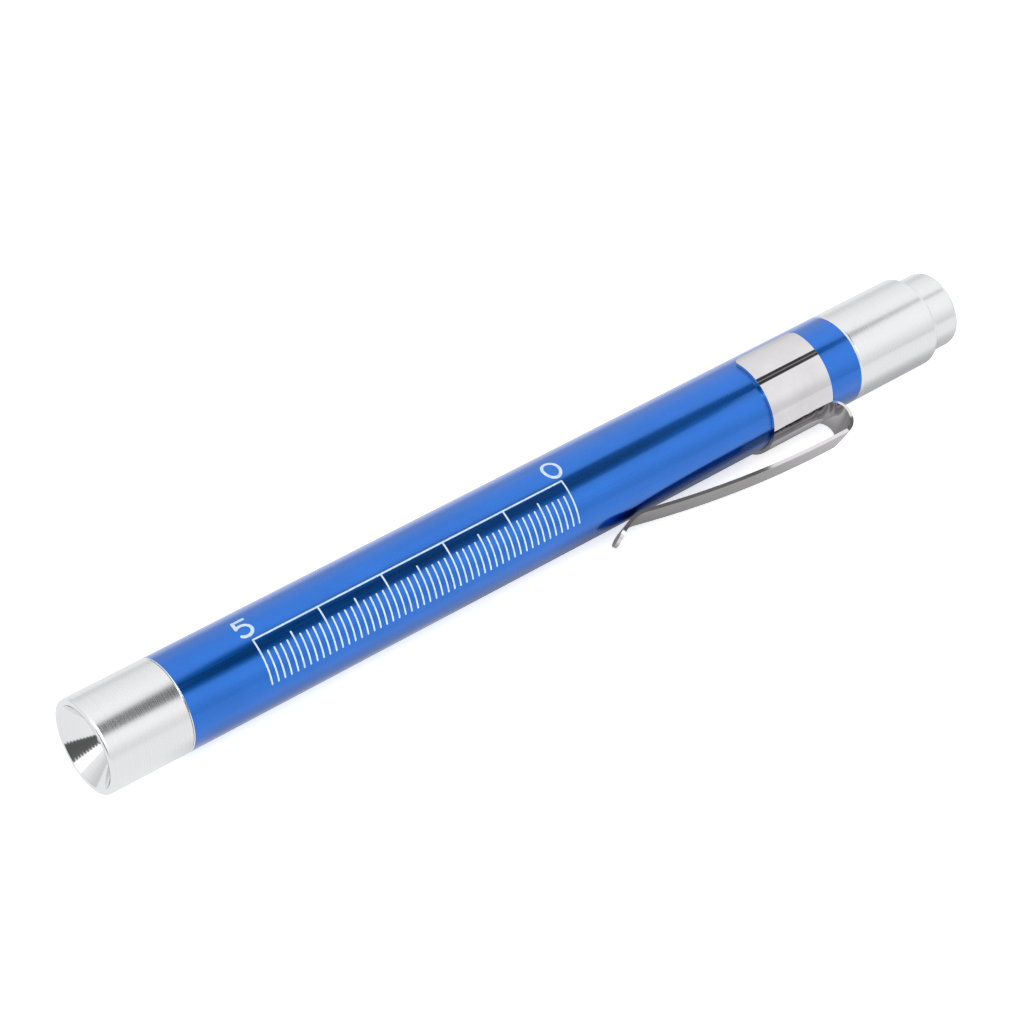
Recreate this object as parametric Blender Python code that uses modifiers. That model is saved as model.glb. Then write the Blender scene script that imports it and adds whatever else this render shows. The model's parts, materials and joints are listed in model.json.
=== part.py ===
"""Pocket examination penlight: a screwed aluminium case with a conical reflector, two AAA cells, a latching
tail button and a sprung steel pocket clip.

Every piece is drawn in the pen's own frame: its Z axis is the pen's axis, stations run from 0 at the front
rim towards the tail, and its X axis points at the clip arm. The pen empty lays that frame down along world +X
and rolls it until the pen rests on its clip band and on the corner of the clip arm.
"""

import math

import bmesh
import bpy
from mathutils import Matrix, Vector

MM = 0.001
TAU = 2 * math.pi

# Driving dimensions: the cells and the case around them
CELL_R = 5.25 * MM
CELL_LENGTH = 44.5 * MM
CELL_CLEARANCE = 0.25 * MM
BARREL_WALL = 1.1 * MM
HEAD_LENGTH = 12.0 * MM
BUTTON_STANDOUT = 5.0 * MM
END_CHAMFER = 0.25 * MM

# Fits
SEAT_GAP = 0.05 * MM
RUNNING_GAP = 0.10 * MM
CUTTER_OVERRUN = 0.2 * MM

# Screwed joints between the barrel and its two ends, with lengths along the thread in turns
PITCH = 1.0 * MM
RIDGE_HEIGHT = 0.5 * MM
RIDGE_TURNS = 3
LEAD_IN_TURNS = 1.3
SPIGOT_TURNS = 5.5
GROOVE_OUTER_TURNS = 3
GROOVE_INNER_TURNS = 1
GROOVE_MARGIN = 0.15 * MM
FLANK_SLOPE = 0.6
SPIGOT_WALL = 1.0 * MM

# Reflector and lamp
RIM_WIDTH = 0.8 * MM
RIM_ROUND = 0.4 * MM
REFLECTOR_DEPTH = 4.2 * MM
LED_R = 1.5 * MM
LED_CLEARANCE = 0.15 * MM
LED_LENGTH = 5.3 * MM
LED_DEPTH = 2.2 * MM
LED_FLANGE_STEP = 0.4 * MM
LED_FLANGE = 1.0 * MM
LEAD_R = 0.25 * MM
LEAD_OFFSET = 1.27 * MM
HOLDER_SETBACK = 1.6 * MM
CONTACT_R = 2.4 * MM
CONTACT_DISC = 0.3 * MM
CONTACT_NOSE_R = 1.0 * MM
CONTACT_STEM_R = 0.8 * MM
CONTACT_STEM = 1.5 * MM
GROUND_RING_WIDTH = 2.0 * MM
GROUND_RING_WALL = 0.3 * MM
GROUND_RING_SETBACK = 4.0 * MM

# Details of the AAA cells
CELL_NUB_R = 1.9 * MM
CELL_NUB = 0.8 * MM
CELL_SLEEVE = 0.1 * MM
CELL_SLEEVE_LIP = 1.0 * MM
CELL_SEAL = 0.6 * MM
CELL_CAP_R = 3.2 * MM
CELL_SHOULDER_GAP = 0.2 * MM

# Tail cap and button
CAP_WALL = 0.9 * MM
CAP_ROUND = 0.8 * MM
BUTTON_ROUND = 0.8 * MM
BUTTON_TRAVEL = 2.0 * MM
BUTTON_STOP_GAP = 0.5 * MM
BUTTON_GUIDE = 6.5 * MM
WEB_THICKNESS = 1.5 * MM
SPRING_POCKET_DEPTH = 3.8 * MM
SPRING_POCKET_CLEARANCE = 0.35 * MM
STEM_R = 1.5 * MM
STEM_GRIP = 4.0 * MM
STEM_CLIP_STEP = 1.3 * MM
STEM_CLIP_THICKNESS = 0.5 * MM
STEM_CLIP_HALF_WRAP = math.radians(150)
STEM_GROOVE_DEPTH = 0.3 * MM

# Click mechanism and tail contact
HOUSING_WALL = 0.6 * MM
GUIDE_RIB = 0.5 * MM
LUGS = 4
CAM_LENGTH = 2.6 * MM
ROTOR_STEP = 0.5 * MM
ROTOR_LENGTH = 2.4 * MM
ROTOR_LUG = 0.6 * MM
TEETH = 8
TOOTH_DEPTH = 0.6 * MM
TOOTH_RELIEF = 0.12 * MM
PLUNGER_DISC = 0.6 * MM
PLUNGER_PIN_R = 0.7 * MM
PLUNGER_PIN_GRIP = 1.5 * MM
PLATE_THICKNESS = 0.6 * MM
PLATE_PROUD = 0.5 * MM
PLATE_NOSE_R = 1.4 * MM
PLATE_NOSE_PROUD = 0.3 * MM
PLATE_BOSS_R = 1.8 * MM
PLATE_BOSS = 0.8 * MM

# Coil springs
BATTERY_WIRE_R = 0.3 * MM
BATTERY_SPRING_ROOM = 13.55 * MM
BATTERY_SPRING_FRONT_R = 2.6 * MM
BATTERY_SPRING_REAR_R = 3.5 * MM
BATTERY_SPRING_TURNS = 6
RETURN_WIRE_R = 0.25 * MM
RETURN_SPRING_R = 3.3 * MM
RETURN_SPRING_TURNS = 5
CLOSED_TURN_SPACING = 1.1

# Pocket clip, bent from one blank of spring steel
SHEET = 0.5 * MM
BAND_WIDTH = 11.0 * MM
BAND_HALF_WRAP = math.radians(136)
BAND_CORNER = 1.2 * MM
CLIP_SETBACK = 6.15 * MM
BEND_R = 1.83 * MM
TAB_HALF_WIDTH = 3.2 * MM
ARM_ROOT_HALF_WIDTH = 2.6 * MM
ARM_TOE_HALF_WIDTH = 2.1 * MM
ARM_LENGTH = 35.35 * MM
LIP_LENGTH = 4.8 * MM
LIP_RISE = 2.2 * MM
TOE_ROUND = 1.5 * MM
TIP_SHARE = 0.97

# How finely round shapes are drawn
CASE_STEPS = 40
FINE_STEPS = 24
THREAD_STEPS = 20
COIL_STEPS = 12
ARC_STEPS = 4
TAB_COLUMNS = 8
WELD = 1e-7
SHARP_ANGLE = math.radians(30)

# Radii that follow from the fits
BORE_R = CELL_R + CELL_CLEARANCE
CASE_R = BORE_R + BARREL_WALL
SPIGOT_R = BORE_R - RUNNING_GAP
SPIGOT_BORE_R = SPIGOT_R - SPIGOT_WALL
RIDGE_R = SPIGOT_R + RIDGE_HEIGHT
RIM_INNER_R = CASE_R - RIM_WIDTH
LED_HOLE_R = LED_R + LED_CLEARANCE
LED_FLANGE_R = LED_R + LED_FLANGE_STEP
HOLDER_R = SPIGOT_BORE_R - RUNNING_GAP
RING_GROOVE_R = HOLDER_R - GROUND_RING_WALL
LEAD_BORE_R = LEAD_R + SEAT_GAP
BUTTON_BORE_R = CASE_R - CAP_WALL
BUTTON_R = BUTTON_BORE_R - RUNNING_GAP
SPRING_POCKET_R = RETURN_SPRING_R + RETURN_WIRE_R + SPRING_POCKET_CLEARANCE
STEM_BORE_R = STEM_R + SEAT_GAP
STEM_GROOVE_R = STEM_R - STEM_GROOVE_DEPTH
HOUSING_BORE_R = HOLDER_R - HOUSING_WALL
RIB_R = HOUSING_BORE_R - GUIDE_RIB
CAM_R = RIB_R - 2 * RUNNING_GAP
ROTOR_R = RIB_R - ROTOR_STEP

# Stations along the pen's axis, from the front rim: head and lamp
BARREL_START = HEAD_LENGTH
HEAD_SPIGOT_END = BARREL_START + SPIGOT_TURNS * PITCH
HEAD_RIDGE_START = BARREL_START + LEAD_IN_TURNS * PITCH
LED_BASE = LED_DEPTH + LED_LENGTH
LED_FLANGE_FRONT = LED_BASE - LED_FLANGE
LAMP_SEAT = LED_FLANGE_FRONT - SEAT_GAP
LEADS_START = LED_BASE + SEAT_GAP
GROUND_RING_START = LED_BASE + GROUND_RING_SETBACK
GROUND_RING_END = GROUND_RING_START + GROUND_RING_WIDTH
HOLDER_END = HEAD_SPIGOT_END - HOLDER_SETBACK

# Stations of the cells and of what stands behind them
FRONT_CELL = HEAD_SPIGOT_END + CELL_SHOULDER_GAP - CELL_NUB
REAR_CELL = FRONT_CELL + CELL_LENGTH + SEAT_GAP
CELLS_END = REAR_CELL + CELL_LENGTH
PLATE_FRONT = CELLS_END + BATTERY_SPRING_ROOM
PLATE_REAR = PLATE_FRONT + PLATE_THICKNESS
HOUSING_FRONT = PLATE_REAR + SEAT_GAP
PLATE_TIP = HOUSING_FRONT + HOUSING_WALL + PLATE_NOSE_PROUD
PLUNGER_FRONT = PLATE_TIP + SEAT_GAP + BUTTON_TRAVEL
PLUNGER_REAR = PLUNGER_FRONT + PLUNGER_DISC
ROTOR_FRONT = PLUNGER_REAR + SEAT_GAP
ROTOR_REAR = ROTOR_FRONT + ROTOR_LENGTH
CAM_FRONT = ROTOR_REAR + SEAT_GAP + TOOTH_DEPTH
CAM_REAR = CAM_FRONT + CAM_LENGTH
PLUNGER_PIN_END = CAM_FRONT + PLUNGER_PIN_GRIP
CLIP_RING_FRONT = CAM_REAR + SEAT_GAP
CLIP_RING_REAR = CLIP_RING_FRONT + STEM_CLIP_THICKNESS

# Stations of the tail cap, the button and the barrel's tail end
WEB_FRONT = CLIP_RING_REAR + SEAT_GAP
WEB_REAR = WEB_FRONT + WEB_THICKNESS
BUTTON_FRONT = WEB_REAR + BUTTON_TRAVEL + BUTTON_STOP_GAP
POCKET_END = BUTTON_FRONT + SPRING_POCKET_DEPTH
STEM_END = POCKET_END + STEM_GRIP
CAP_END = BUTTON_FRONT + BUTTON_GUIDE
BUTTON_END = CAP_END + BUTTON_STANDOUT
CAP_SPIGOT_START = PLATE_FRONT + PLATE_PROUD
BARREL_END = CAP_SPIGOT_START + SPIGOT_TURNS * PITCH
CAP_RIDGE_START = BARREL_END - (RIDGE_TURNS + LEAD_IN_TURNS) * PITCH

# The clip's middle surface
BAND_MID_R = CASE_R + SEAT_GAP + SHEET / 2
BAND_END = BARREL_END - CLIP_SETBACK
BAND_START = BAND_END - BAND_WIDTH
BEND_CENTRE_R = BAND_MID_R + BEND_R
ARM_MID_R = BEND_CENTRE_R + BEND_R


def add_object(name, mesh, look, collection, parent):
    """Object for a mesh drawn in its parent's frame."""
    obj = bpy.data.objects.new(name, mesh)
    collection.objects.link(obj)
    obj.parent = parent
    if look:
        mesh.materials.append(look)
    return obj


def shade(mesh):
    """Smooth shading that breaks at the sharp edges."""
    mesh.shade_smooth()
    mesh.set_sharp_from_angle(angle=SHARP_ANGLE)


def bake(obj):
    """Makes the modifiers' result the object's mesh, closes what is open and faces it outwards."""
    bpy.context.view_layer.update()
    graph = bpy.context.evaluated_depsgraph_get()
    mesh = bpy.data.meshes.new_from_object(obj.evaluated_get(graph), depsgraph=graph)
    shape = bmesh.new()
    shape.from_mesh(mesh)
    bmesh.ops.remove_doubles(shape, verts=shape.verts, dist=WELD)
    bmesh.ops.holes_fill(shape, edges=[edge for edge in shape.edges if edge.is_boundary])
    bmesh.ops.recalc_face_normals(shape, faces=shape.faces)
    shape.to_mesh(mesh)
    shape.free()
    obj.modifiers.clear()
    obj.data = mesh
    shade(mesh)


class Workshop:
    """Makes pieces in one collection, cutters in another, all in the pen's frame."""

    def __init__(self):
        scene = bpy.context.scene.collection
        self.parts = bpy.data.collections.new("penlight")
        self.cutters = bpy.data.collections.new("cutters")
        scene.children.link(self.parts)
        scene.children.link(self.cutters)
        self.pen = self.empty("pen", None)

    def empty(self, name, parent, place=(0, 0, 0)):
        """Empty that holds a frame for other objects."""
        holder = bpy.data.objects.new(name, None)
        self.parts.objects.link(holder)
        holder.parent = parent
        holder.location = place
        return holder

    def turned(self, name, outline, look, steps=FINE_STEPS):
        """Solid of revolution about the pen's axis.

        The outline's (radius, station) points run down the outer side from tail to head, and back up the
        inside. An outline that starts on the axis ends on it too; any other is closed into a ring.
        """
        links = [(i, i + 1) for i in range(len(outline) - 1)]
        if outline[0][0] > 0:
            links.append((len(outline) - 1, 0))
        mesh = bpy.data.meshes.new(name)
        mesh.from_pydata([(radius, 0, station) for radius, station in outline], links, [])
        piece = add_object(name, mesh, look, self.parts, self.pen)
        screw = piece.modifiers.new("Turn", "SCREW")
        screw.steps = screw.render_steps = steps
        screw.use_merge_vertices = True
        screw.merge_threshold = WELD
        bake(piece)
        return piece

    def thread(self, name, apex_r, root_r, start, turns):
        """Helper with the shape of a right-hand triangular thread."""
        half = (apex_r - root_r) * FLANK_SLOPE
        corners = [(root_r, 0, start + half), (apex_r, 0, start), (root_r, 0, start - half)]
        mesh = bpy.data.meshes.new(name)
        mesh.from_pydata(corners, [(0, 1), (1, 2), (2, 0)], [])
        helix = add_object(name, mesh, None, self.cutters, self.pen)
        screw = helix.modifiers.new("Thread", "SCREW")
        screw.screw_offset = PITCH
        screw.iterations = turns
        screw.steps = screw.render_steps = THREAD_STEPS
        bake(helix)
        return helix

    def boxes(self, name, size, places):
        """Helper made of equal boxes at the given matrices."""
        shape = bmesh.new()
        for place in places:
            bmesh.ops.create_cube(shape, size=1, matrix=place @ Matrix.Diagonal((*size, 1)))
        return self.helper(name, shape)

    def rod(self, name, radius, length, place):
        """Round helper centred at the given matrix."""
        shape = bmesh.new()
        bmesh.ops.create_cone(
            shape,
            cap_ends=True,
            segments=COIL_STEPS,
            radius1=radius,
            radius2=radius,
            depth=length,
            matrix=place,
        )
        return self.helper(name, shape)

    def helper(self, name, shape):
        """Object among the cutters for a finished bmesh."""
        mesh = bpy.data.meshes.new(name)
        shape.to_mesh(mesh)
        shape.free()
        return add_object(name, mesh, None, self.cutters, self.pen)

    def combine(self, piece, helper, operation):
        """Cuts the helper out of the piece, or joins it on."""
        helper.hide_render = True
        helper.display_type = "WIRE"
        boolean = piece.modifiers.new(helper.name, "BOOLEAN")
        boolean.object = helper
        boolean.operation = operation

    def wire(self, name, route, radius, look):
        """Round wire along a route of points."""
        curve = bpy.data.curves.new(name, "CURVE")
        curve.dimensions = "3D"
        curve.bevel_depth = radius
        curve.bevel_resolution = 1
        curve.use_fill_caps = True
        add_spline(curve, route)
        add_object(name, curve, look, self.parts, self.pen)

    def sheet(self, name, rows, look, parent, more_rows=()):
        """Bent sheet steel around a middle surface.

        Each row holds the surface's points across the sheet. More rows grow on from the last points of the
        first rows, which are the edge that they share.
        """
        shape = bmesh.new()
        grid = [[shape.verts.new(point) for point in row] for row in rows]
        fill_grid(shape, grid)
        if more_rows:
            spare = (len(grid) - len(more_rows[0])) // 2
            edge = [row[-1] for row in grid[spare : len(grid) - spare]]
            grown = [[shape.verts.new(point) for point in row] for row in more_rows]
            fill_grid(shape, [edge, *grown])
        bmesh.ops.recalc_face_normals(shape, faces=shape.faces)
        mesh = bpy.data.meshes.new(name)
        shape.to_mesh(mesh)
        shape.free()
        piece = add_object(name, mesh, look, self.parts, parent)
        thicken = piece.modifiers.new("Sheet", "SOLIDIFY")
        thicken.thickness = SHEET
        thicken.offset = 0
        thicken.use_even_offset = True
        bake(piece)


def add_spline(curve, route, closed=False):
    """Straight runs through a route's points on a curve."""
    spline = curve.splines.new("POLY")
    spline.points.add(len(route) - 1)
    spline.use_cyclic_u = closed
    for point, place in zip(spline.points, route):
        point.co = (*place, 1)


def fill_grid(shape, grid):
    """Faces between neighbouring rows of vertices."""
    for row, following in zip(grid, grid[1:]):
        for i in range(len(row) - 1):
            shape.faces.new((row[i], row[i + 1], following[i + 1], following[i]))


def arc(centre, radius, start, end):
    """Points on an arc, angles in degrees from the radial direction towards the tail."""
    angles = [math.radians(start + (end - start) * i / ARC_STEPS) for i in range(ARC_STEPS + 1)]
    return [(centre[0] + radius * math.cos(a), centre[1] + radius * math.sin(a)) for a in angles]


def around(radius, angle, station):
    """Point at a radius and an angle about the pen's axis, measured from the clip arm."""
    return Vector((radius * math.cos(angle), radius * math.sin(angle), station))


def spokes(count, radius, station):
    """Matrices of pieces spaced evenly around the axis."""
    out = Matrix.Translation((radius, 0, station))
    return [Matrix.Rotation(TAU * i / count, 4, "Z") @ out for i in range(count)]


def principled(name, colour, roughness, metallic):
    """Material with one colour."""
    material = bpy.data.materials.new(name)
    material.use_nodes = True
    shader = material.node_tree.nodes["Principled BSDF"]
    shader.inputs["Base Color"].default_value = (*colour, 1)
    shader.inputs["Roughness"].default_value = roughness
    shader.inputs["Metallic"].default_value = metallic
    material.diffuse_color = (*colour, 1)
    return material


def make_looks():
    """All the finishes of the penlight."""
    return {
        "blue": principled("anodised_blue", (0.02, 0.13, 0.60), 0.30, 1.0),
        "aluminium": principled("bare_aluminium", (0.86, 0.86, 0.87), 0.25, 1.0),
        "chrome": principled("chromed_steel", (0.80, 0.79, 0.81), 0.10, 1.0),
        "steel": principled("spring_steel", (0.50, 0.50, 0.52), 0.30, 1.0),
        "brass": principled("brass", (0.75, 0.55, 0.25), 0.25, 1.0),
        "black": principled("black_plastic", (0.02, 0.02, 0.02), 0.45, 0.0),
        "white": principled("white_plastic", (0.80, 0.80, 0.78), 0.45, 0.0),
        "clear": principled("clear_epoxy", (0.90, 0.86, 0.70), 0.05, 0.0),
        "sleeve": principled("cell_sleeve", (0.10, 0.12, 0.14), 0.35, 0.0),
    }


def make_barrel(shop, looks):
    """Tube with a chamfer and a thread groove at each end."""
    edge_r = CASE_R - END_CHAMFER
    outline = [
        (edge_r, BARREL_END),
        (CASE_R, BARREL_END - END_CHAMFER),
        (CASE_R, BARREL_START + END_CHAMFER),
        (edge_r, BARREL_START),
        (BORE_R, BARREL_START),
        (BORE_R, BARREL_END),
    ]
    barrel = shop.turned("barrel_tube", outline, looks["blue"], CASE_STEPS)
    apex_r = RIDGE_R + GROOVE_MARGIN
    root_r = BORE_R - 2 * RUNNING_GAP
    turns = GROOVE_OUTER_TURNS + RIDGE_TURNS + GROOVE_INNER_TURNS
    front = HEAD_RIDGE_START - GROOVE_OUTER_TURNS * PITCH
    rear = CAP_RIDGE_START - GROOVE_INNER_TURNS * PITCH
    shop.combine(barrel, shop.thread("front_groove", apex_r, root_r, front, turns), "DIFFERENCE")
    shop.combine(barrel, shop.thread("rear_groove", apex_r, root_r, rear, turns), "DIFFERENCE")


def add_ridge(shop, piece, start):
    """Joins the thread's ridge onto a spigot."""
    ridge = shop.thread(piece.name + "_ridge", RIDGE_R, SPIGOT_R - RUNNING_GAP, start, RIDGE_TURNS)
    shop.combine(piece, ridge, "UNION")


def make_head(shop, looks):
    """Head with the reflector cone in front, the lamp's seat behind it and the threaded spigot."""
    shoulder = BARREL_START - SEAT_GAP
    outline = [
        (SPIGOT_R, HEAD_SPIGOT_END),
        (SPIGOT_R, shoulder),
        (CASE_R - END_CHAMFER, shoulder),
        (CASE_R, shoulder - END_CHAMFER),
        *arc((CASE_R - RIM_ROUND, RIM_ROUND), RIM_ROUND, 0, -90),
        (RIM_INNER_R, 0),
        (LED_HOLE_R, REFLECTOR_DEPTH),
        (LED_HOLE_R, LAMP_SEAT),
        (SPIGOT_BORE_R, LAMP_SEAT),
        (SPIGOT_BORE_R, HEAD_SPIGOT_END),
    ]
    head = shop.turned("head_shell", outline, looks["aluminium"], CASE_STEPS)
    add_ridge(shop, head, HEAD_RIDGE_START)


def make_led(shop, looks):
    """LED with its dome and flange, and its two straight leads, one bent out to the ground ring."""
    outline = [
        (0, LED_BASE),
        (LED_FLANGE_R, LED_BASE),
        (LED_FLANGE_R, LED_FLANGE_FRONT),
        (LED_R, LED_FLANGE_FRONT),
        *arc((0, LED_DEPTH + LED_R), LED_R, 0, -90)[:-1],
        (0, LED_DEPTH),
    ]
    shop.turned("led_lens", outline, looks["clear"])
    anode = [(LEAD_OFFSET, 0, LEADS_START), (LEAD_OFFSET, 0, HOLDER_END)]
    shop.wire("led_anode_lead", anode, LEAD_R, looks["steel"])
    elbow = (GROUND_RING_START + GROUND_RING_END) / 2
    cathode = [(-LEAD_OFFSET, 0, LEADS_START), (-LEAD_OFFSET, 0, elbow), (-RING_GROOVE_R, 0, elbow)]
    shop.wire("led_cathode_lead", cathode, LEAD_R, looks["steel"])


def make_lamp_holder(shop, looks):
    """Bush that seats the LED in the head, with bores for its leads and a groove for the ground ring."""
    recess_r = LED_FLANGE_R + SEAT_GAP
    stem_hole_r = CONTACT_STEM_R + SEAT_GAP
    stem_hole_end = HOLDER_END - CONTACT_STEM - SEAT_GAP
    outline = [
        (0, stem_hole_end),
        (stem_hole_r, stem_hole_end),
        (stem_hole_r, HOLDER_END),
        (HOLDER_R, HOLDER_END),
        (HOLDER_R, GROUND_RING_END),
        (RING_GROOVE_R, GROUND_RING_END),
        (RING_GROOVE_R, GROUND_RING_START),
        (HOLDER_R, GROUND_RING_START),
        (HOLDER_R, LED_FLANGE_FRONT),
        (recess_r, LED_FLANGE_FRONT),
        (recess_r, LEADS_START),
        (0, LEADS_START),
    ]
    holder = shop.turned("lamp_holder", outline, looks["white"])
    through = HOLDER_END - LEADS_START + 2 * CUTTER_OVERRUN
    middle = Matrix.Translation((LEAD_OFFSET, 0, (HOLDER_END + LEADS_START) / 2))
    shop.combine(holder, shop.rod("anode_bore", LEAD_BORE_R, through, middle), "DIFFERENCE")
    elbow = (GROUND_RING_START + GROUND_RING_END) / 2
    depth = elbow + LEAD_BORE_R - LEADS_START + CUTTER_OVERRUN
    well = Matrix.Translation((-LEAD_OFFSET, 0, elbow + LEAD_BORE_R - depth / 2))
    shop.combine(holder, shop.rod("cathode_bore", LEAD_BORE_R, depth, well), "DIFFERENCE")
    across = Matrix.Translation((-LEAD_OFFSET - HOLDER_R / 2, 0, elbow)) @ Matrix.Rotation(TAU / 4, 4, "Y")
    shop.combine(holder, shop.rod("cathode_side_bore", LEAD_BORE_R, HOLDER_R, across), "DIFFERENCE")


def make_lamp_contacts(shop, looks):
    """Ring that joins the cathode lead to the head, and the button that the front cell's nub touches."""
    ring_r = HOLDER_R + SEAT_GAP
    ring_inner_r = RING_GROOVE_R + SEAT_GAP
    ring_front = GROUND_RING_START + SEAT_GAP
    ring_rear = GROUND_RING_END - SEAT_GAP
    ring = [(ring_r, ring_rear), (ring_r, ring_front), (ring_inner_r, ring_front), (ring_inner_r, ring_rear)]
    shop.turned("ground_ring", ring, looks["brass"])

    tip = FRONT_CELL - SEAT_GAP
    disc_front = HOLDER_END + SEAT_GAP
    disc_rear = disc_front + CONTACT_DISC
    stem_front = HOLDER_END - CONTACT_STEM
    contact = [
        (0, tip),
        (CONTACT_NOSE_R, tip),
        (CONTACT_NOSE_R, disc_rear),
        (CONTACT_R, disc_rear),
        (CONTACT_R, disc_front),
        (CONTACT_STEM_R, disc_front),
        (CONTACT_STEM_R, stem_front),
        (0, stem_front),
    ]
    shop.turned("lamp_contact", contact, looks["brass"])


def make_cell(shop, looks, name, front):
    """AAA cell whose nub's tip is at the front station."""
    rear = front + CELL_LENGTH
    shoulder = front + CELL_NUB
    sleeve_inner_r = CELL_R - CELL_SLEEVE
    can_r = sleeve_inner_r - SEAT_GAP
    can_end = rear - CELL_SEAL
    can = [
        (0, can_end),
        (can_r, can_end),
        (can_r, shoulder + SEAT_GAP),
        (CELL_NUB_R, shoulder + SEAT_GAP),
        (CELL_NUB_R, front),
        (0, front),
    ]
    shop.turned(name + "_can", can, looks["steel"])
    lip_r = sleeve_inner_r - CELL_SLEEVE_LIP
    lip_end = shoulder + SEAT_GAP / 2
    sleeve = [
        (CELL_R, rear),
        (CELL_R, shoulder),
        (lip_r, shoulder),
        (lip_r, lip_end),
        (sleeve_inner_r, lip_end),
        (sleeve_inner_r, rear),
    ]
    shop.turned(name + "_sleeve", sleeve, looks["sleeve"])
    seal_front = can_end + SEAT_GAP
    seal_inner_r = CELL_CAP_R + SEAT_GAP
    seal = [(can_r, rear), (can_r, seal_front), (seal_inner_r, seal_front), (seal_inner_r, rear)]
    shop.turned(name + "_seal", seal, looks["black"])
    cap = [(0, rear), (CELL_CAP_R, rear), (CELL_CAP_R, seal_front), (0, seal_front)]
    shop.turned(name + "_negative_cap", cap, looks["steel"])


def make_tail_cap(shop, looks):
    """Cap with its threaded spigot, a web that the button's stem slides in, and the button's bore."""
    shoulder = BARREL_END + SEAT_GAP
    hole_r = STEM_R + RUNNING_GAP
    outline = [
        *arc((CASE_R - CAP_ROUND, CAP_END - CAP_ROUND), CAP_ROUND, 90, 0),
        (CASE_R, shoulder + END_CHAMFER),
        (CASE_R - END_CHAMFER, shoulder),
        (SPIGOT_R, shoulder),
        (SPIGOT_R, CAP_SPIGOT_START),
        (SPIGOT_BORE_R, CAP_SPIGOT_START),
        (SPIGOT_BORE_R, WEB_FRONT),
        (hole_r, WEB_FRONT),
        (hole_r, WEB_REAR),
        (BUTTON_BORE_R, WEB_REAR),
        (BUTTON_BORE_R, CAP_END),
    ]
    cap = shop.turned("tail_cap", outline, looks["aluminium"], CASE_STEPS)
    add_ridge(shop, cap, CAP_RIDGE_START)


def make_button(shop, looks):
    """Button with the pocket for its return spring and the hole that its stem is pressed into."""
    outline = [
        (0, BUTTON_END),
        *arc((BUTTON_R - BUTTON_ROUND, BUTTON_END - BUTTON_ROUND), BUTTON_ROUND, 90, 0),
        (BUTTON_R, BUTTON_FRONT),
        (SPRING_POCKET_R, BUTTON_FRONT),
        (SPRING_POCKET_R, POCKET_END),
        (STEM_BORE_R, POCKET_END),
        (STEM_BORE_R, STEM_END + SEAT_GAP),
        (0, STEM_END + SEAT_GAP),
    ]
    shop.turned("button", outline, looks["aluminium"], CASE_STEPS)


def make_stem(shop, looks):
    """Steel stem with the groove for its retaining ring and the hole for the plunger's pin."""
    pin_hole_r = PLUNGER_PIN_R + SEAT_GAP
    pin_hole_end = PLUNGER_PIN_END + SEAT_GAP
    groove_rear = CLIP_RING_REAR + SEAT_GAP / 2
    groove_front = CLIP_RING_FRONT - SEAT_GAP / 2
    outline = [
        (0, STEM_END),
        (STEM_R, STEM_END),
        (STEM_R, groove_rear),
        (STEM_GROOVE_R, groove_rear),
        (STEM_GROOVE_R, groove_front),
        (STEM_R, groove_front),
        (STEM_R, CAM_FRONT),
        (pin_hole_r, CAM_FRONT),
        (pin_hole_r, pin_hole_end),
        (0, pin_hole_end),
    ]
    shop.turned("button_stem", outline, looks["steel"])


def make_stem_clip(shop, looks):
    """Open retaining ring in the stem's groove."""
    angles = [STEM_CLIP_HALF_WRAP * (2 * i / FINE_STEPS - 1) for i in range(FINE_STEPS + 1)]
    outline = [around(STEM_R + STEM_CLIP_STEP, angle, 0) for angle in angles]
    outline += [around(STEM_GROOVE_R + SEAT_GAP, angle, 0) for angle in reversed(angles)]
    curve = bpy.data.curves.new("stem_clip", "CURVE")
    curve.dimensions = "2D"
    curve.fill_mode = "BOTH"
    curve.extrude = STEM_CLIP_THICKNESS / 2
    add_spline(curve, outline, closed=True)
    ring = add_object("stem_clip", curve, looks["steel"], shop.parts, shop.pen)
    ring.location.z = (CLIP_RING_FRONT + CLIP_RING_REAR) / 2


def cut_teeth(piece, station, rise):
    """Turns a ring's flat end at a station into ratchet teeth that rise from it."""
    steps_per_tooth = FINE_STEPS // TEETH
    for vertex in piece.data.vertices:
        if abs(vertex.co.z - station) < WELD:
            step = round(math.atan2(vertex.co.y, vertex.co.x) / TAU * FINE_STEPS)
            vertex.co.z += rise * (step % steps_per_tooth) / steps_per_tooth
    shade(piece.data)


def make_cam(shop, looks):
    """Toothed cam pressed onto the stem."""
    outline = [(CAM_R, CAM_REAR), (CAM_R, CAM_FRONT), (STEM_BORE_R, CAM_FRONT), (STEM_BORE_R, CAM_REAR)]
    cam = shop.turned("click_cam", outline, looks["white"])
    cut_teeth(cam, CAM_FRONT, -TOOTH_DEPTH)


def make_rotor(shop, looks):
    """Toothed rotor that turns on the plunger's pin, with lugs that the housing's slots let through."""
    bore_r = PLUNGER_PIN_R + RUNNING_GAP
    outline = [
        (ROTOR_R, ROTOR_REAR),
        (ROTOR_R, ROTOR_FRONT),
        (bore_r, ROTOR_FRONT),
        (bore_r, ROTOR_REAR - TOOTH_DEPTH),
        (STEM_BORE_R, ROTOR_REAR - TOOTH_DEPTH),
        (STEM_BORE_R, ROTOR_REAR),
    ]
    rotor = shop.turned("ratchet_rotor", outline, looks["black"])
    cut_teeth(rotor, ROTOR_REAR, TOOTH_RELIEF - TOOTH_DEPTH)
    length = ROTOR_LENGTH / 2
    places = spokes(LUGS, ROTOR_R, ROTOR_FRONT + length / 2 + SEAT_GAP)
    lugs = shop.boxes("rotor_lugs", (2 * ROTOR_LUG, 2 * ROTOR_LUG, length), places)
    shop.combine(rotor, lugs, "UNION")


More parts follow.
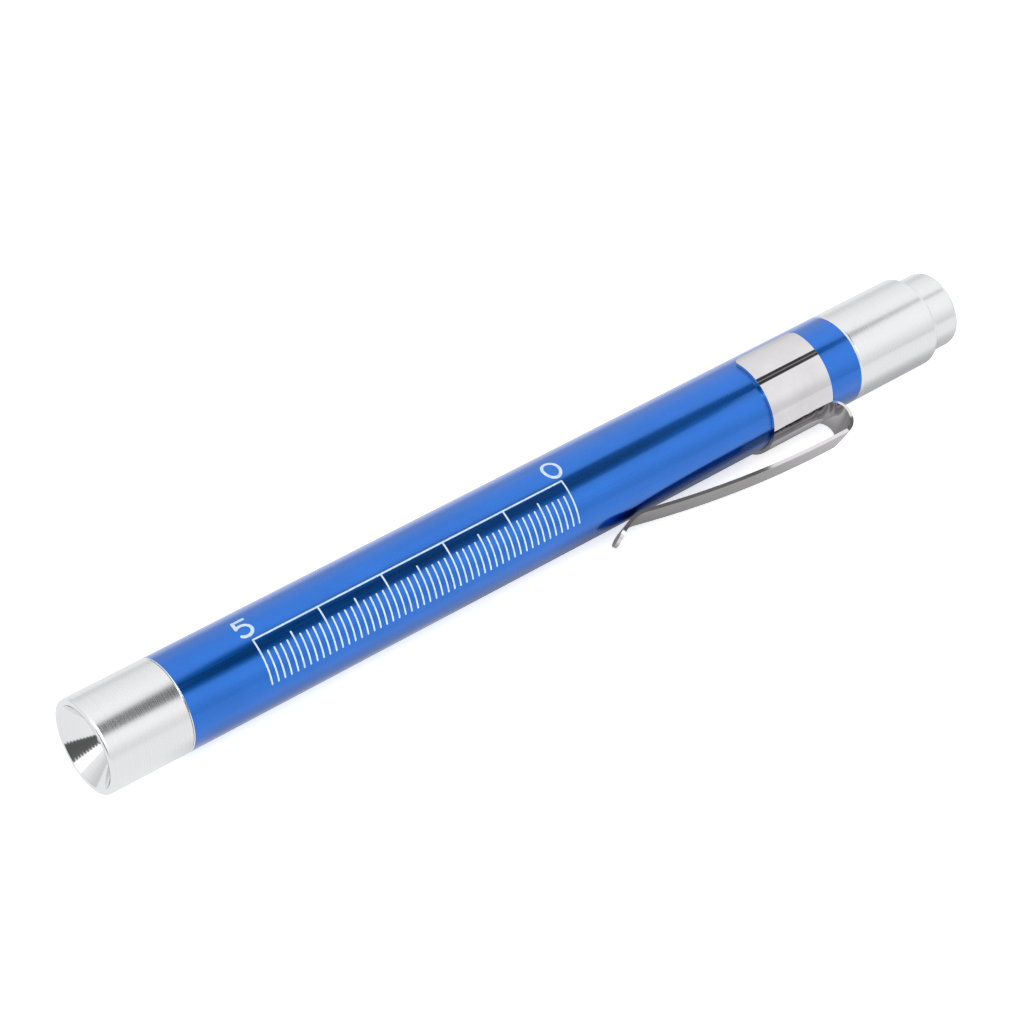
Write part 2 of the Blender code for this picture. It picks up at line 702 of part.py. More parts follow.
def make_plunger(shop, looks):
    """Contact plunger that carries the rotor and whose pin is pressed into the stem."""
    outline = [
        (0, PLUNGER_PIN_END),
        (PLUNGER_PIN_R, PLUNGER_PIN_END),
        (PLUNGER_PIN_R, PLUNGER_REAR),
        (ROTOR_R, PLUNGER_REAR),
        (ROTOR_R, PLUNGER_FRONT),
        (0, PLUNGER_FRONT),
    ]
    shop.turned("contact_plunger", outline, looks["brass"])


def make_housing(shop, looks):
    """Plastic tube around the click mechanism, with guide ribs behind the rotor and slots between them."""
    hole_r = PLATE_NOSE_R + RUNNING_GAP
    wall_rear = HOUSING_FRONT + HOUSING_WALL
    rib_front = ROTOR_REAR + SEAT_GAP
    rear = WEB_FRONT - SEAT_GAP
    outline = [
        (HOLDER_R, rear),
        (HOLDER_R, HOUSING_FRONT),
        (hole_r, HOUSING_FRONT),
        (hole_r, wall_rear),
        (HOUSING_BORE_R, wall_rear),
        (HOUSING_BORE_R, rib_front),
        (RIB_R, rib_front),
        (RIB_R, rear),
    ]
    housing = shop.turned("switch_housing", outline, looks["white"])
    depth = GUIDE_RIB + CUTTER_OVERRUN
    width = 2 * ROTOR_LUG + 4 * RUNNING_GAP
    length = rear - rib_front + 2 * CUTTER_OVERRUN
    places = spokes(LUGS, HOUSING_BORE_R - depth / 2, (rear + rib_front) / 2)
    shop.combine(housing, shop.boxes("housing_slots", (depth, width, length), places), "DIFFERENCE")


def make_spring_plate(shop, looks):
    """Brass plate that the battery spring seats on, with the nose that the plunger touches."""
    outline = [
        (0, PLATE_TIP),
        (PLATE_NOSE_R, PLATE_TIP),
        (PLATE_NOSE_R, PLATE_REAR),
        (HOLDER_R, PLATE_REAR),
        (HOLDER_R, PLATE_FRONT),
        (PLATE_BOSS_R, PLATE_FRONT),
        (PLATE_BOSS_R, PLATE_FRONT - PLATE_BOSS),
        (0, PLATE_FRONT - PLATE_BOSS),
    ]
    shop.turned("spring_plate", outline, looks["brass"])


def coil_route(front, rear, front_r, rear_r, turns, wire_r):
    """Route of a compression spring with a closed, flat turn at each end."""
    low = front + wire_r
    high = rear - wire_r
    closed = 2 * wire_r * CLOSED_TURN_SPACING
    route = []
    steps = turns * COIL_STEPS
    for i in range(steps + 1):
        turn = i / COIL_STEPS
        share = (turn - 1) / (turns - 2)
        middle = low + closed + (high - low - 2 * closed) * share
        station = min(max(middle, low + closed * turn), high - closed * (turns - turn))
        route.append(around(front_r + (rear_r - front_r) * i / steps, TAU * turn, station))
    return route


def make_battery_spring(shop, looks):
    """Conical spring that presses the cells forward."""
    route = coil_route(
        CELLS_END + SEAT_GAP,
        PLATE_FRONT - SEAT_GAP,
        BATTERY_SPRING_FRONT_R,
        BATTERY_SPRING_REAR_R,
        BATTERY_SPRING_TURNS,
        BATTERY_WIRE_R,
    )
    shop.wire("battery_spring", route, BATTERY_WIRE_R, looks["steel"])


def make_return_spring(shop, looks):
    """Spring between the cap's web and the button's pocket."""
    route = coil_route(
        WEB_REAR + SEAT_GAP,
        POCKET_END - SEAT_GAP,
        RETURN_SPRING_R,
        RETURN_SPRING_R,
        RETURN_SPRING_TURNS,
        RETURN_WIRE_R,
    )
    shop.wire("return_spring", route, RETURN_WIRE_R, looks["steel"])


def band_rows():
    """Rows of the clip band from one free end to the other, with rounded corners at both."""
    column = 2 * math.asin(TAB_HALF_WIDTH / BAND_MID_R) / TAB_COLUMNS
    corner_start = BAND_HALF_WRAP - BAND_CORNER / BAND_MID_R
    half = [column * i for i in range(int(corner_start / column) + 1)]
    for i in range(ARC_STEPS + 1):
        half.append(corner_start + (BAND_HALF_WRAP - corner_start) * math.sin(TAU / 4 * i / ARC_STEPS))
    rows = []
    for angle in [-a for a in reversed(half[1:])] + half:
        past = max(0, abs(angle) - corner_start) * BAND_MID_R
        inset = BAND_CORNER - math.sqrt(max(0, BAND_CORNER**2 - past**2))
        ends = (BAND_START + inset, BAND_END - inset)
        rows.append([around(BAND_MID_R, angle, station) for station in ends])
    return rows


def bend_rows():
    """Rows of the U-bend that grows from the band's tail edge and flattens as it turns back."""
    bend_steps = 3 * ARC_STEPS
    tab_half_angle = math.asin(TAB_HALF_WIDTH / BAND_MID_R)
    rows = []
    for i in range(1, bend_steps + 1):
        share = i / bend_steps
        turn = math.pi * share
        narrowing = 1 + (ARM_ROOT_HALF_WIDTH / TAB_HALF_WIDTH - 1) * share
        row = []
        for j in range(TAB_COLUMNS + 1):
            edge = around(BAND_MID_R, tab_half_angle * (2 * j / TAB_COLUMNS - 1), 0)
            hollow = (BAND_MID_R - edge.x) * (1 - share)
            out = BEND_CENTRE_R - BEND_R * math.cos(turn) - hollow
            row.append(Vector((out, edge.y * narrowing, BAND_END + BEND_R * math.sin(turn))))
        rows.append(row)
    return rows


def arm_path():
    """Middle line of the arm as (distance from the root, height below the root), lip included."""
    drop = ARM_MID_R - BAND_MID_R - SEAT_GAP
    steps = 4 * ARC_STEPS
    bow = [Vector((ARM_LENGTH * i / steps, drop * (i / steps) ** 2)) for i in range(steps)]
    heel = Vector((ARM_LENGTH, drop))
    incoming = Vector((1, 2 * drop / ARM_LENGTH)).normalized()
    outgoing = Vector((LIP_LENGTH, -LIP_RISE)).normalized()
    reach = TOE_ROUND * math.tan(incoming.angle(outgoing) / 2)
    knee = []
    for i in range(ARC_STEPS + 1):
        t = i / ARC_STEPS
        knee.append(heel - incoming * reach * (1 - t) ** 2 + outgoing * reach * t**2)
    lip_start = math.hypot(LIP_LENGTH, LIP_RISE) - ARM_TOE_HALF_WIDTH
    fades = [TIP_SHARE * math.sin(TAU / 4 * i / ARC_STEPS) for i in range(ARC_STEPS + 1)]
    lip = [heel + outgoing * (lip_start + ARM_TOE_HALF_WIDTH * fade) for fade in fades]
    return bow + knee + lip


def arm_rows():
    """Rows of the arm in the frame of its flexing axis, which lies along the arm's root."""
    path = arm_path()
    lengths = [0]
    for before, after in zip(path, path[1:]):
        lengths.append(lengths[-1] + (after - before).length)
    round_start = lengths[-1] - ARM_TOE_HALF_WIDTH * TIP_SHARE
    rows = []
    for point, length in zip(path, lengths):
        half = ARM_ROOT_HALF_WIDTH + (ARM_TOE_HALF_WIDTH - ARM_ROOT_HALF_WIDTH) * length / lengths[-1]
        past = max(0, length - round_start) / ARM_TOE_HALF_WIDTH
        half *= math.sqrt(1 - past**2)
        rows.append([Vector((-point.y, side * half, -SEAT_GAP - point.x)) for side in (-1, 1)])
    return rows


def make_clip(shop, looks):
    """Pocket clip: the band with its U-bend, and the arm that flexes about its root."""
    shop.sheet("clip_band", band_rows(), looks["chrome"], shop.pen, bend_rows())
    root = shop.empty("clip_arm_root", shop.pen, (ARM_MID_R, 0, BAND_END))
    shop.sheet("clip_arm", arm_rows(), looks["chrome"], root)


def lay_down(pen, parts):
    """Lays the pen along +X, rolls it onto its band and arm, and centres it on the ground."""
    band_r = BAND_MID_R + SHEET / 2
    corner_r = math.hypot(ARM_MID_R + SHEET / 2, ARM_ROOT_HALF_WIDTH)
    dip = math.asin(band_r / corner_r) - math.asin(ARM_ROOT_HALF_WIDTH / corner_r)
    pen.matrix_world = Matrix.Rotation(dip - TAU / 4, 4, "X") @ Matrix.Rotation(TAU / 4, 4, "Y")
    bpy.context.view_layer.update()
    corners = []
    for obj in parts:
        if obj.type != "EMPTY":
            corners += [obj.matrix_world @ Vector(corner) for corner in obj.bound_box]
    middle = (max(corner.y for corner in corners) + min(corner.y for corner in corners)) / 2
    pen.location = (-BUTTON_END / 2, -middle, band_r)


def main():
    for obj in list(bpy.data.objects):
        bpy.data.objects.remove(obj)
    shop = Workshop()
    looks = make_looks()
    make_barrel(shop, looks)
    make_head(shop, looks)
    make_led(shop, looks)
    make_lamp_holder(shop, looks)
    make_lamp_contacts(shop, looks)
    make_cell(shop, looks, "front_cell", FRONT_CELL)
    make_cell(shop, looks, "rear_cell", REAR_CELL)
    make_tail_cap(shop, looks)
    make_button(shop, looks)
    make_stem(shop, looks)
    make_stem_clip(shop, looks)
    make_cam(shop, looks)
    make_rotor(shop, looks)
    make_plunger(shop, looks)
    make_housing(shop, looks)
    make_spring_plate(shop, looks)
    make_battery_spring(shop, looks)
    make_return_spring(shop, looks)
    make_clip(shop, looks)
    lay_down(shop.pen, shop.parts.objects)


main()
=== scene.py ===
"""Looks of the pocket examination penlight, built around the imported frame.

Turned pieces, the printed ruler, the clip and the springs are drawn in the pen's own frame: Z is the pen's
axis, with station 0 at the front rim, and X points at the clip arm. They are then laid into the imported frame.
"""

import json
import math

import bmesh
import bpy
import numpy as np
from mathutils import Matrix, Vector


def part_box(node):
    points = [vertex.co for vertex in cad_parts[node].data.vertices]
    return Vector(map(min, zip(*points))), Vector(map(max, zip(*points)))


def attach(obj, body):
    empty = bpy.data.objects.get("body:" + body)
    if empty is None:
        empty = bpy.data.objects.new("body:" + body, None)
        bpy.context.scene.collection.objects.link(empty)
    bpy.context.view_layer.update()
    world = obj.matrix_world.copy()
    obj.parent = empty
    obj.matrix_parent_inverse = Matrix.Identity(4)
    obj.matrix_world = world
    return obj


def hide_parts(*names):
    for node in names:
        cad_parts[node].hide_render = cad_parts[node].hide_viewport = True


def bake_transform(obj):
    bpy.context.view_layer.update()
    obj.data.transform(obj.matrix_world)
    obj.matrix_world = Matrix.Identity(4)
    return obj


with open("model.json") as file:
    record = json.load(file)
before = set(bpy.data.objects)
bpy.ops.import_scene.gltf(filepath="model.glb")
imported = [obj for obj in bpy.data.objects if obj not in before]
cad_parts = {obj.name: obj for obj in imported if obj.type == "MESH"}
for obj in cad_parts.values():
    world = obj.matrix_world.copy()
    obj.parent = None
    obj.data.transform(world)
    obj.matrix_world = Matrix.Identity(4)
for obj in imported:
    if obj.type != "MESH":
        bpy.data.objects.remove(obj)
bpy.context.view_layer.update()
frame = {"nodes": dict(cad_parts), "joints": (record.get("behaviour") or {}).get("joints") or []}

MM = 0.001
TAU = 2 * math.pi

# How finely round shapes are drawn
CASE_STEPS = 144
FINE_STEPS = 64
DOME_STEPS = 12
COIL_STEPS = 28
WIRE_SIDES = 10
FILLET_STEPS = 6
CORNER_STEPS = 8
BEND_STEPS = 24
ARM_STEPS = 48
LIP_STEPS = 16
TAB_COLUMNS = 16
BAND_COLUMNS = 6
THREAD_ROW = 0.07 * MM
SHARP_ANGLE = math.radians(32)

# Share of a wide round's radius that its curve takes along each face, and how far out the support points lie
# that end every fillet, as a multiple of its reach: they keep smooth shading off the straight faces
FILLET_REACH = 0.85
HOLD = 1.04

# Screw threads on the head and the tail cap
PITCH = 1.0 * MM
LEAD_IN = 1.3 * MM
RIDGE_TURNS = 3
RIDGE_HEIGHT = 0.5 * MM
RIDGE_HALF_WIDTH = 0.33 * MM
FADES_PER_TURN = 8
GROOVE_DEPTH = 0.55 * MM
GROOVE_OUTER_TURNS = 3
GROOVE_TURNS = 7

# Walls and fits behind the surfaces that the frame gives
BARREL_WALL = 1.1 * MM
THREAD_CLEARANCE = 0.1 * MM
SEAT_GAP = 0.05 * MM
SPIGOT_WALL = 1.0 * MM
LED_R = 1.5 * MM
LED_FLANGE = 1.0 * MM
LED_HOLE_CLEARANCE = 0.15 * MM
CAP_WALL = 0.9 * MM
CAP_WEB = 1.5 * MM
WEB_TO_BUTTON = 4.0 * MM
STEM_HOLE_R = 1.6 * MM
BUTTON_POCKET_R = 3.9 * MM
BUTTON_POCKET_DEPTH = 3.8 * MM
STEM_SOCKET_R = 1.55 * MM
STEM_SOCKET_DEPTH = 4.05 * MM

# Turned details
END_CHAMFER = 0.25 * MM
TIGHT_CHAMFER = 0.10 * MM
EDGE_BREAK = 0.08 * MM
RIM_WIDTH = 0.8 * MM
RIM_ROUND = 0.5 * MM
RIM_INNER_ROUND = 0.26 * MM
REFLECTOR_DEPTH = 4.2 * MM
REFLECTOR_RINGS = 13
RING_POINTS = 6
RING_RELIEF = 0.006 * MM
CAP_ROUND = 0.8 * MM
BUTTON_ROUND = 0.8 * MM
BUTTON_RINGS = 9

# Printed ruler: lengths along the pen, and angles that run over its top from the back to the front
INK_HEIGHT = 0.012 * MM
INK_WIDTH = 0.24 * MM
SCALE_START = 24.0 * MM
SCALE_LENGTH_MM = 50
TURN_OF_ARM = math.radians(167)
LINE_STEPS = 16
CURVE_STEPS = 40
BOWL_STEPS = 24
STROKE_END = [math.radians(angle) for angle in (84, 60, 30)]
TOP_LINE = math.radians(70.2)
FIVE_TICK_TOP = math.radians(81.5)
TICK_TOP = math.radians(88.2)
TICK_END = math.radians(125)
DIGIT_MIDDLE = math.radians(51.0)
DIGIT_HEIGHT = 2.85 * MM
DIGIT_WIDTH = 2.3 * MM
DIGIT_STROKE = 0.45 * MM

# Springs, with the spacing of their closed turns in wire radii
END_TURN_SPACING = 2.2

# Pocket clip, bent from one blank of sheet steel
SHEET = 0.5 * MM
SHEET_EDGE_ROUND = 0.1 * MM
SHEET_EDGE_ANGLE = math.radians(50)
BAND_WIDTH = 11.0 * MM
BAND_HALF_WRAP = math.radians(136)
BAND_CORNER = 1.2 * MM
BEND_R = 1.83 * MM
TAB_HALF_WIDTH = 3.2 * MM
ARM_ROOT_HALF_WIDTH = 2.6 * MM
ARM_TOE_HALF_WIDTH = 2.1 * MM
ARM_LENGTH = 35.35 * MM
LIP_LENGTH = 4.8 * MM
LIP_RISE = 2.2 * MM
LIP_REACH = 0.99
LIP_HOLLOW = 0.62
TOE_ROUND = 1.5 * MM
KNEE_EXTRA = 0.5 * MM
TIP_SHARE = 0.998

# Black strips beside the pen, as (station in mm, first angle, last angle, softness, cover) in degrees
STRIP_R = 0.12
STRIP_FRONT, STRIP_REAR = -20, 170
STRIP_COLUMNS = 140
SEAM = 0.22
OVERHEAD_STRIP = (
    (-20, 61, 87, 8, 0.88),
    (6, 60, 87, 8, 0.86),
    (18, 50, 88, 14, 0.95),
    (78, 46, 83, 8, 0.86),
    (98, 48, 78, 7, 0.84),
    (104, 52, 68, 1, 0.95),
    (119, 52, 66, 1, 0.95),
    (123, 53, 63, 3, 0.55),
    (170, 53, 58, 3, 0.35),
)
FRONT_STRIP = (
    (116, 136, 141, 2.5, 0.0),
    (120, 136, 141, 2.5, 0.32),
    (170, 136, 141, 2.5, 0.32),
)

# Floor, the table that the pen's underside reflects, and the cards in front of its reflector
FLOOR_HALF = 1.5
TABLE = 0.90
# Painted shadow: how far the table card is darkened below the pen and below the clip arm
TABLE_PAINTED_SHADOW_BELOW_PEN = 0.40
TABLE_PAINTED_SHADOW_BELOW_CLIP = 0.38
TABLE_HALF_LENGTH = 0.09
TABLE_HALF_WIDTH = 0.03
FRONT_CARD_R = 0.3
FRONT_CARD_STEPS = 24

# Camera
CAMERA_PLACE = (-0.21460, -0.23989, 0.30062)
CAMERA_TURN = (47.6815, -2.1458, -38.9328)
CAMERA_LENS = 114.93


def pen_matrix():
    """Matrix that lays the pen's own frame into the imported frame."""
    flex = next(joint for joint in frame["joints"] if joint["name"] == "clip_flex")
    low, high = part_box("barrel_tube")
    across = -Vector(flex["axis"])
    along = Vector((1, 0, 0))
    matrix = Matrix((across.cross(along), across, along)).transposed().to_4x4()
    matrix.translation = (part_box("head_shell")[0].x, (low.y + high.y) / 2, (low.z + high.z) / 2)
    return matrix


PEN = pen_matrix()


def span(node):
    """First and last station of a node."""
    low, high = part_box(node)
    return low.x - PEN.translation.x, high.x - PEN.translation.x


def reach(node):
    """Largest radius of a node about the pen's axis."""
    return max(math.hypot(*(v.co - PEN.translation).yz) for v in frame["nodes"][node].data.vertices)


CASE_R = reach("barrel_tube")
BARREL_START, BARREL_END = span("barrel_tube")
HEAD_SPIGOT_END = span("head_shell")[1]
CAP_SPIGOT_START, CAP_END = span("tail_cap")
BUTTON_START, BUTTON_END = span("button")
BUTTON_R = reach("button")
LED_FRONT, LED_BASE = span("led_lens")
LED_FLANGE_R = reach("led_lens")
BORE_R = CASE_R - BARREL_WALL
SPIGOT_R = BORE_R - THREAD_CLEARANCE
BAND_START = span("clip_band")[0]
BAND_END = BAND_START + BAND_WIDTH
BAND_MID_R = CASE_R + SEAT_GAP + SHEET / 2
BEND_CENTRE_R = BAND_MID_R + BEND_R
ARM_MID_R = BEND_CENTRE_R + BEND_R
HEAD_RIDGE_START = BARREL_START + LEAD_IN
CAP_RIDGE_START = BARREL_END - LEAD_IN - RIDGE_TURNS * PITCH


# ---------------------------------------------------------------- looks


class Look:
    """Principled material whose detail is built from nodes on object coordinates."""

    def __init__(self, name, metallic=0.0, **sockets):
        self.material = bpy.data.materials.new(name)
        self.material.use_nodes = True
        self.nodes = self.material.node_tree.nodes
        self.links = self.material.node_tree.links
        self.shader = self.nodes["Principled BSDF"]
        self.shader.inputs["Metallic"].default_value = metallic
        for socket, value in sockets.items():
            self.shader.inputs[socket.replace("_", " ")].default_value = value
        self.place = self.nodes.new("ShaderNodeTexCoord").outputs["Object"]
        self.normal = None

    def stretched(self, scale):
        """Object coordinates scaled along each axis, in features per metre."""
        mapping = self.nodes.new("ShaderNodeMapping")
        mapping.vector_type = "POINT"
        mapping.inputs["Scale"].default_value = scale
        self.links.new(self.place, mapping.inputs["Vector"])
        return mapping.outputs["Vector"]

    def lathe_place(self):
        """Station plus radius, which runs across every turning mark."""
        offset = self.nodes.new("ShaderNodeVectorMath")
        offset.operation = "SUBTRACT"
        offset.inputs[1].default_value = (0, PEN.translation.y, PEN.translation.z)
        self.links.new(self.place, offset.inputs[0])
        flat = self.nodes.new("ShaderNodeVectorMath")
        flat.operation = "MULTIPLY"
        flat.inputs[1].default_value = (0, 1, 1)
        self.links.new(offset.outputs["Vector"], flat.inputs[0])
        length = self.nodes.new("ShaderNodeVectorMath")
        length.operation = "LENGTH"
        self.links.new(flat.outputs["Vector"], length.inputs[0])
        parts = self.nodes.new("ShaderNodeSeparateXYZ")
        self.links.new(self.place, parts.inputs["Vector"])
        return self.math("ADD", parts.outputs["X"], length.outputs["Value"])

    def math(self, operation, first, second):
        """Result of a math node on two values, each a number or another node's output."""
        node = self.nodes.new("ShaderNodeMath")
        node.operation = operation
        for socket, value in zip(node.inputs, (first, second)):
            if isinstance(value, (int, float)):
                socket.default_value = value
            else:
                self.links.new(value, socket)
        return node.outputs["Value"]

    def grain(self, scale, detail=3.0, roughness=0.55):
        """Noise whose features are stretched by a scale in features per metre."""
        noise = self.nodes.new("ShaderNodeTexNoise")
        noise.inputs["Scale"].default_value = 1.0
        noise.inputs["Detail"].default_value = detail
        noise.inputs["Roughness"].default_value = roughness
        self.links.new(self.stretched(scale), noise.inputs["Vector"])
        return noise.outputs["Fac"]

    def turning(self, per_metre, detail=4.0):
        """Noise in rings, as a lathe tool leaves them."""
        noise = self.nodes.new("ShaderNodeTexNoise")
        noise.noise_dimensions = "1D"
        noise.inputs["Scale"].default_value = 1.0
        noise.inputs["Detail"].default_value = detail
        self.links.new(self.math("MULTIPLY", self.lathe_place(), per_metre), noise.inputs["W"])
        return noise.outputs["Fac"]

    def colour(self, fac, low, high, start=0.35, end=0.65):
        """Base colour that runs from low to high as the noise does."""
        ramp = self.nodes.new("ShaderNodeValToRGB")
        ramp.color_ramp.elements[0].position = start
        ramp.color_ramp.elements[1].position = end
        ramp.color_ramp.elements[0].color = (*low, 1)
        ramp.color_ramp.elements[1].color = (*high, 1)
        self.links.new(fac, ramp.inputs["Fac"])
        self.links.new(ramp.outputs["Color"], self.shader.inputs["Base Color"])

    def roughness(self, fac, low, high):
        """Roughness that runs from low to high as the noise does."""
        spread = self.nodes.new("ShaderNodeMapRange")
        spread.inputs["From Min"].default_value = 0.3
        spread.inputs["From Max"].default_value = 0.7
        spread.inputs["To Min"].default_value = low
        spread.inputs["To Max"].default_value = high
        self.links.new(fac, spread.inputs["Value"])
        self.links.new(spread.outputs["Result"], self.shader.inputs["Roughness"])

    def bump(self, fac, height):
        """Relief of a height in metres, on top of any relief already there."""
        node = self.nodes.new("ShaderNodeBump")
        node.inputs["Strength"].default_value = 1.0
        node.inputs["Distance"].default_value = height
        self.links.new(fac, node.inputs["Height"])
        if self.normal:
            self.links.new(self.normal, node.inputs["Normal"])
        self.normal = node.outputs["Normal"]
        self.links.new(self.normal, self.shader.inputs["Normal"])


def anodised_look():
    """Blue dye on drawn and lightly brushed aluminium."""
    look = Look("anodised_blue", metallic=1.0, Coat_Weight=1.0, Coat_Roughness=0.10, Coat_IOR=1.5)
    streaks = look.grain((60, 2600, 2600), detail=4)
    cloud = look.grain((120, 240, 240), detail=3)
    look.colour(cloud, (0.001, 0.160, 0.690), (0.003, 0.174, 0.745))
    look.roughness(streaks, 0.22, 0.30)
    look.bump(streaks, 0.0000006)
    return look.material


def turned_look():
    """Bare aluminium with fine turning marks."""
    look = Look("turned_aluminium", metallic=1.0)
    marks = look.turning(9000)
    look.colour(marks, (0.84, 0.845, 0.865), (0.90, 0.905, 0.925))
    look.roughness(marks, 0.19, 0.29)
    look.bump(marks, 0.0000007)
    return look.material


def reflector_look():
    """Brighter aluminium of the reflector's cone, with coarser turning marks."""
    look = Look("reflector_aluminium", metallic=1.0)
    marks = look.turning(4200)
    look.colour(marks, (0.84, 0.845, 0.86), (0.93, 0.935, 0.95))
    look.roughness(marks, 0.07, 0.16)
    look.bump(marks, 0.0000015)
    return look.material


def cut_edge_look():
    """Bright aluminium where the tube was cut after anodising."""
    look = Look("cut_edge_aluminium", metallic=1.0)
    marks = look.turning(12000)
    look.colour(marks, (0.86, 0.86, 0.87), (0.93, 0.93, 0.94))
    look.roughness(marks, 0.12, 0.20)
    return look.material


def chrome_look():
    """Bright chrome plating with faint polishing marks and handling haze."""
    look = Look("chromed_steel", metallic=1.0)
    haze = look.grain((300, 300, 300), detail=4)
    look.colour(haze, (0.74, 0.72, 0.74), (0.80, 0.78, 0.80))
    look.roughness(haze, 0.03, 0.08)
    look.bump(look.grain((900, 5000, 5000), detail=3), 0.0000002)
    return look.material


def ink_look():
    """White print, a little thin in places."""
    look = Look("white_ink", IOR=1.45)
    patches = look.grain((2200, 2200, 2200), detail=5)
    look.colour(patches, (0.40, 0.55, 0.76), (0.60, 0.72, 0.88), 0.30, 0.60)
    look.roughness(patches, 0.42, 0.60)
    look.bump(patches, 0.000002)
    return look.material


def epoxy_look():
    """Clear cast epoxy of the LED, a little warm."""
    look = Look("clear_epoxy", IOR=1.54, Transmission_Weight=0.55)
    cloud = look.grain((900, 900, 900))
    look.colour(cloud, (0.90, 0.86, 0.74), (0.97, 0.94, 0.86))
    look.roughness(cloud, 0.05, 0.12)
    return look.material


def steel_look(name, low, high, roughest):
    """Drawn wire, stamped steel or plated cans."""
    look = Look(name, metallic=1.0)
    lines = look.grain((700, 3500, 3500), detail=4)
    look.colour(lines, low, high)
    look.roughness(lines, 0.18, roughest)
    look.bump(lines, 0.000001)
    return look.material


def plastic_look(name, low, high, roughest):
    """Moulded plastic with a fine eroded skin."""
    look = Look(name, IOR=1.48)
    skin = look.grain((6000, 6000, 6000), detail=4)
    look.colour(look.grain((400, 400, 400)), low, high)
    look.roughness(skin, roughest - 0.15, roughest)
    look.bump(skin, 0.000002)
    return look.material


def sleeve_look():
    """Dark shrunk film round a cell."""
    look = Look("cell_sleeve", IOR=1.5, Coat_Weight=0.3)
    film = look.grain((500, 1500, 1500), detail=3)
    look.colour(film, (0.015, 0.018, 0.022), (0.03, 0.034, 0.04))
    look.roughness(film, 0.22, 0.34)
    look.bump(film, 0.000003)
    return look.material


def floor_look():
    """Matt white acrylic, lit a little from below."""
    look = Look("white_card", IOR=1.4, Emission_Color=(1, 1, 1, 1), Emission_Strength=0.6)
    fibres = look.grain((900, 900, 900), detail=4)
    look.colour(fibres, (0.885, 0.885, 0.885), (0.90, 0.90, 0.90))
    look.roughness(fibres, 0.75, 0.9)
    return look.material


def card_look():
    """Studio card whose brightness and cover are painted on its points."""
    material = bpy.data.materials.new("card")
    material.use_nodes = True
    nodes, links = material.node_tree.nodes, material.node_tree.links
    nodes.clear()
    paint = nodes.new("ShaderNodeVertexColor")
    paint.layer_name = "paint"
    clear = nodes.new("ShaderNodeBsdfTransparent")
    glow = nodes.new("ShaderNodeEmission")
    links.new(paint.outputs["Color"], glow.inputs["Color"])
    mix = nodes.new("ShaderNodeMixShader")
    links.new(paint.outputs["Alpha"], mix.inputs["Fac"])
    links.new(clear.outputs["BSDF"], mix.inputs[1])
    links.new(glow.outputs["Emission"], mix.inputs[2])
    output = nodes.new("ShaderNodeOutputMaterial")
    links.new(mix.outputs["Shader"], output.inputs["Surface"])
    return material


CARD_LOOK = card_look()
LOOKS = {
    "blue": anodised_look(),
    "turned": turned_look(),
    "reflector": reflector_look(),
    "cut": cut_edge_look(),
    "chrome": chrome_look(),
    "ink": ink_look(),
    "epoxy": epoxy_look(),
    "steel": steel_look("spring_steel", (0.50, 0.50, 0.51), (0.64, 0.64, 0.66), 0.34),
    "can": steel_look("cell_can", (0.60, 0.60, 0.61), (0.72, 0.72, 0.72), 0.30),
    "brass": steel_look("brass", (0.70, 0.50, 0.20), (0.82, 0.62, 0.30), 0.32),
    "black": plastic_look("black_nylon", (0.012, 0.012, 0.013), (0.03, 0.03, 0.032), 0.55),
    "white": plastic_look("white_acetal", (0.72, 0.72, 0.70), (0.82, 0.82, 0.80), 0.50),
    "sleeve": sleeve_look(),
}


# ---------------------------------------------------------------- shapes


def around(radius, angle, station):
    """Point at a radius and an angle about the pen's axis, measured from the clip arm."""
    return Vector((radius * math.cos(angle), radius * math.sin(angle), station))


def finish_piece(shape, name, looks, body, replaced=()):
    """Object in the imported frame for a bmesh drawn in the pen's frame, riding on a body."""
    bmesh.ops.recalc_face_normals(shape, faces=shape.faces)
    mesh = bpy.data.meshes.new(name)
    shape.to_mesh(mesh)
    shape.free()
    mesh.transform(PEN)
    mesh.shade_smooth()
    mesh.set_sharp_from_angle(angle=SHARP_ANGLE)
    for look in looks:
        mesh.materials.append(LOOKS[look])
    piece = bpy.data.objects.new(name, mesh)
    bpy.context.scene.collection.objects.link(piece)
    if body:
        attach(piece, body)
    if replaced:
        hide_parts(*replaced)
    return piece


def turned_shape(outline, steps=CASE_STEPS, relief=None):
    """Solid of revolution from (radius, station) points, down the outer side and back up the inside.

    An outline that starts on the axis ends on it too, and any other is closed into a ring. Relief, if any,
    gives the height that it adds to the radius at a radius, an angle and a station.
    """
    shape = bmesh.new()
    rings = []
    for radius, station in outline:
        if radius == 0:
            rings.append([shape.verts.new((0, 0, station))])
            continue
        ring = []
        for i in range(steps):
            angle = TAU * i / steps
            height = relief(radius, angle, station) if relief else 0
            ring.append(shape.verts.new(around(radius + height, angle, station)))
        rings.append(ring)
    pairs = list(zip(rings, rings[1:]))
    if outline[0][0] > 0:
        pairs.append((rings[-1], rings[0]))
    for upper, lower in pairs:
        for i in range(steps):
            corners = [upper[i % len(upper)], upper[(i + 1) % len(upper)]]
            corners += [lower[(i + 1) % len(lower)], lower[i % len(lower)]]
            shape.faces.new(list(dict.fromkeys(corners)))
    return shape


def rounded(corners):
    """Outline points for (radius, station, fillet) corners, where a fillet is a curve between two faces."""
    points = []
    for i, (radius, station, fillet) in enumerate(corners):
        here = Vector((radius, station))
        if not fillet:
            points.append(tuple(here))
            continue
        before = Vector(corners[i - 1][:2]) - here
        after = Vector(corners[(i + 1) % len(corners)][:2]) - here
        start = before.normalized() * fillet
        end = after.normalized() * fillet
        points.append(tuple(here + start * HOLD))
        for step in range(FILLET_STEPS + 1):
            t = step / FILLET_STEPS
            points.append(tuple(here + start * (1 - t) ** 2 + end * t**2))
        points.append(tuple(here + end * HOLD))
    return points


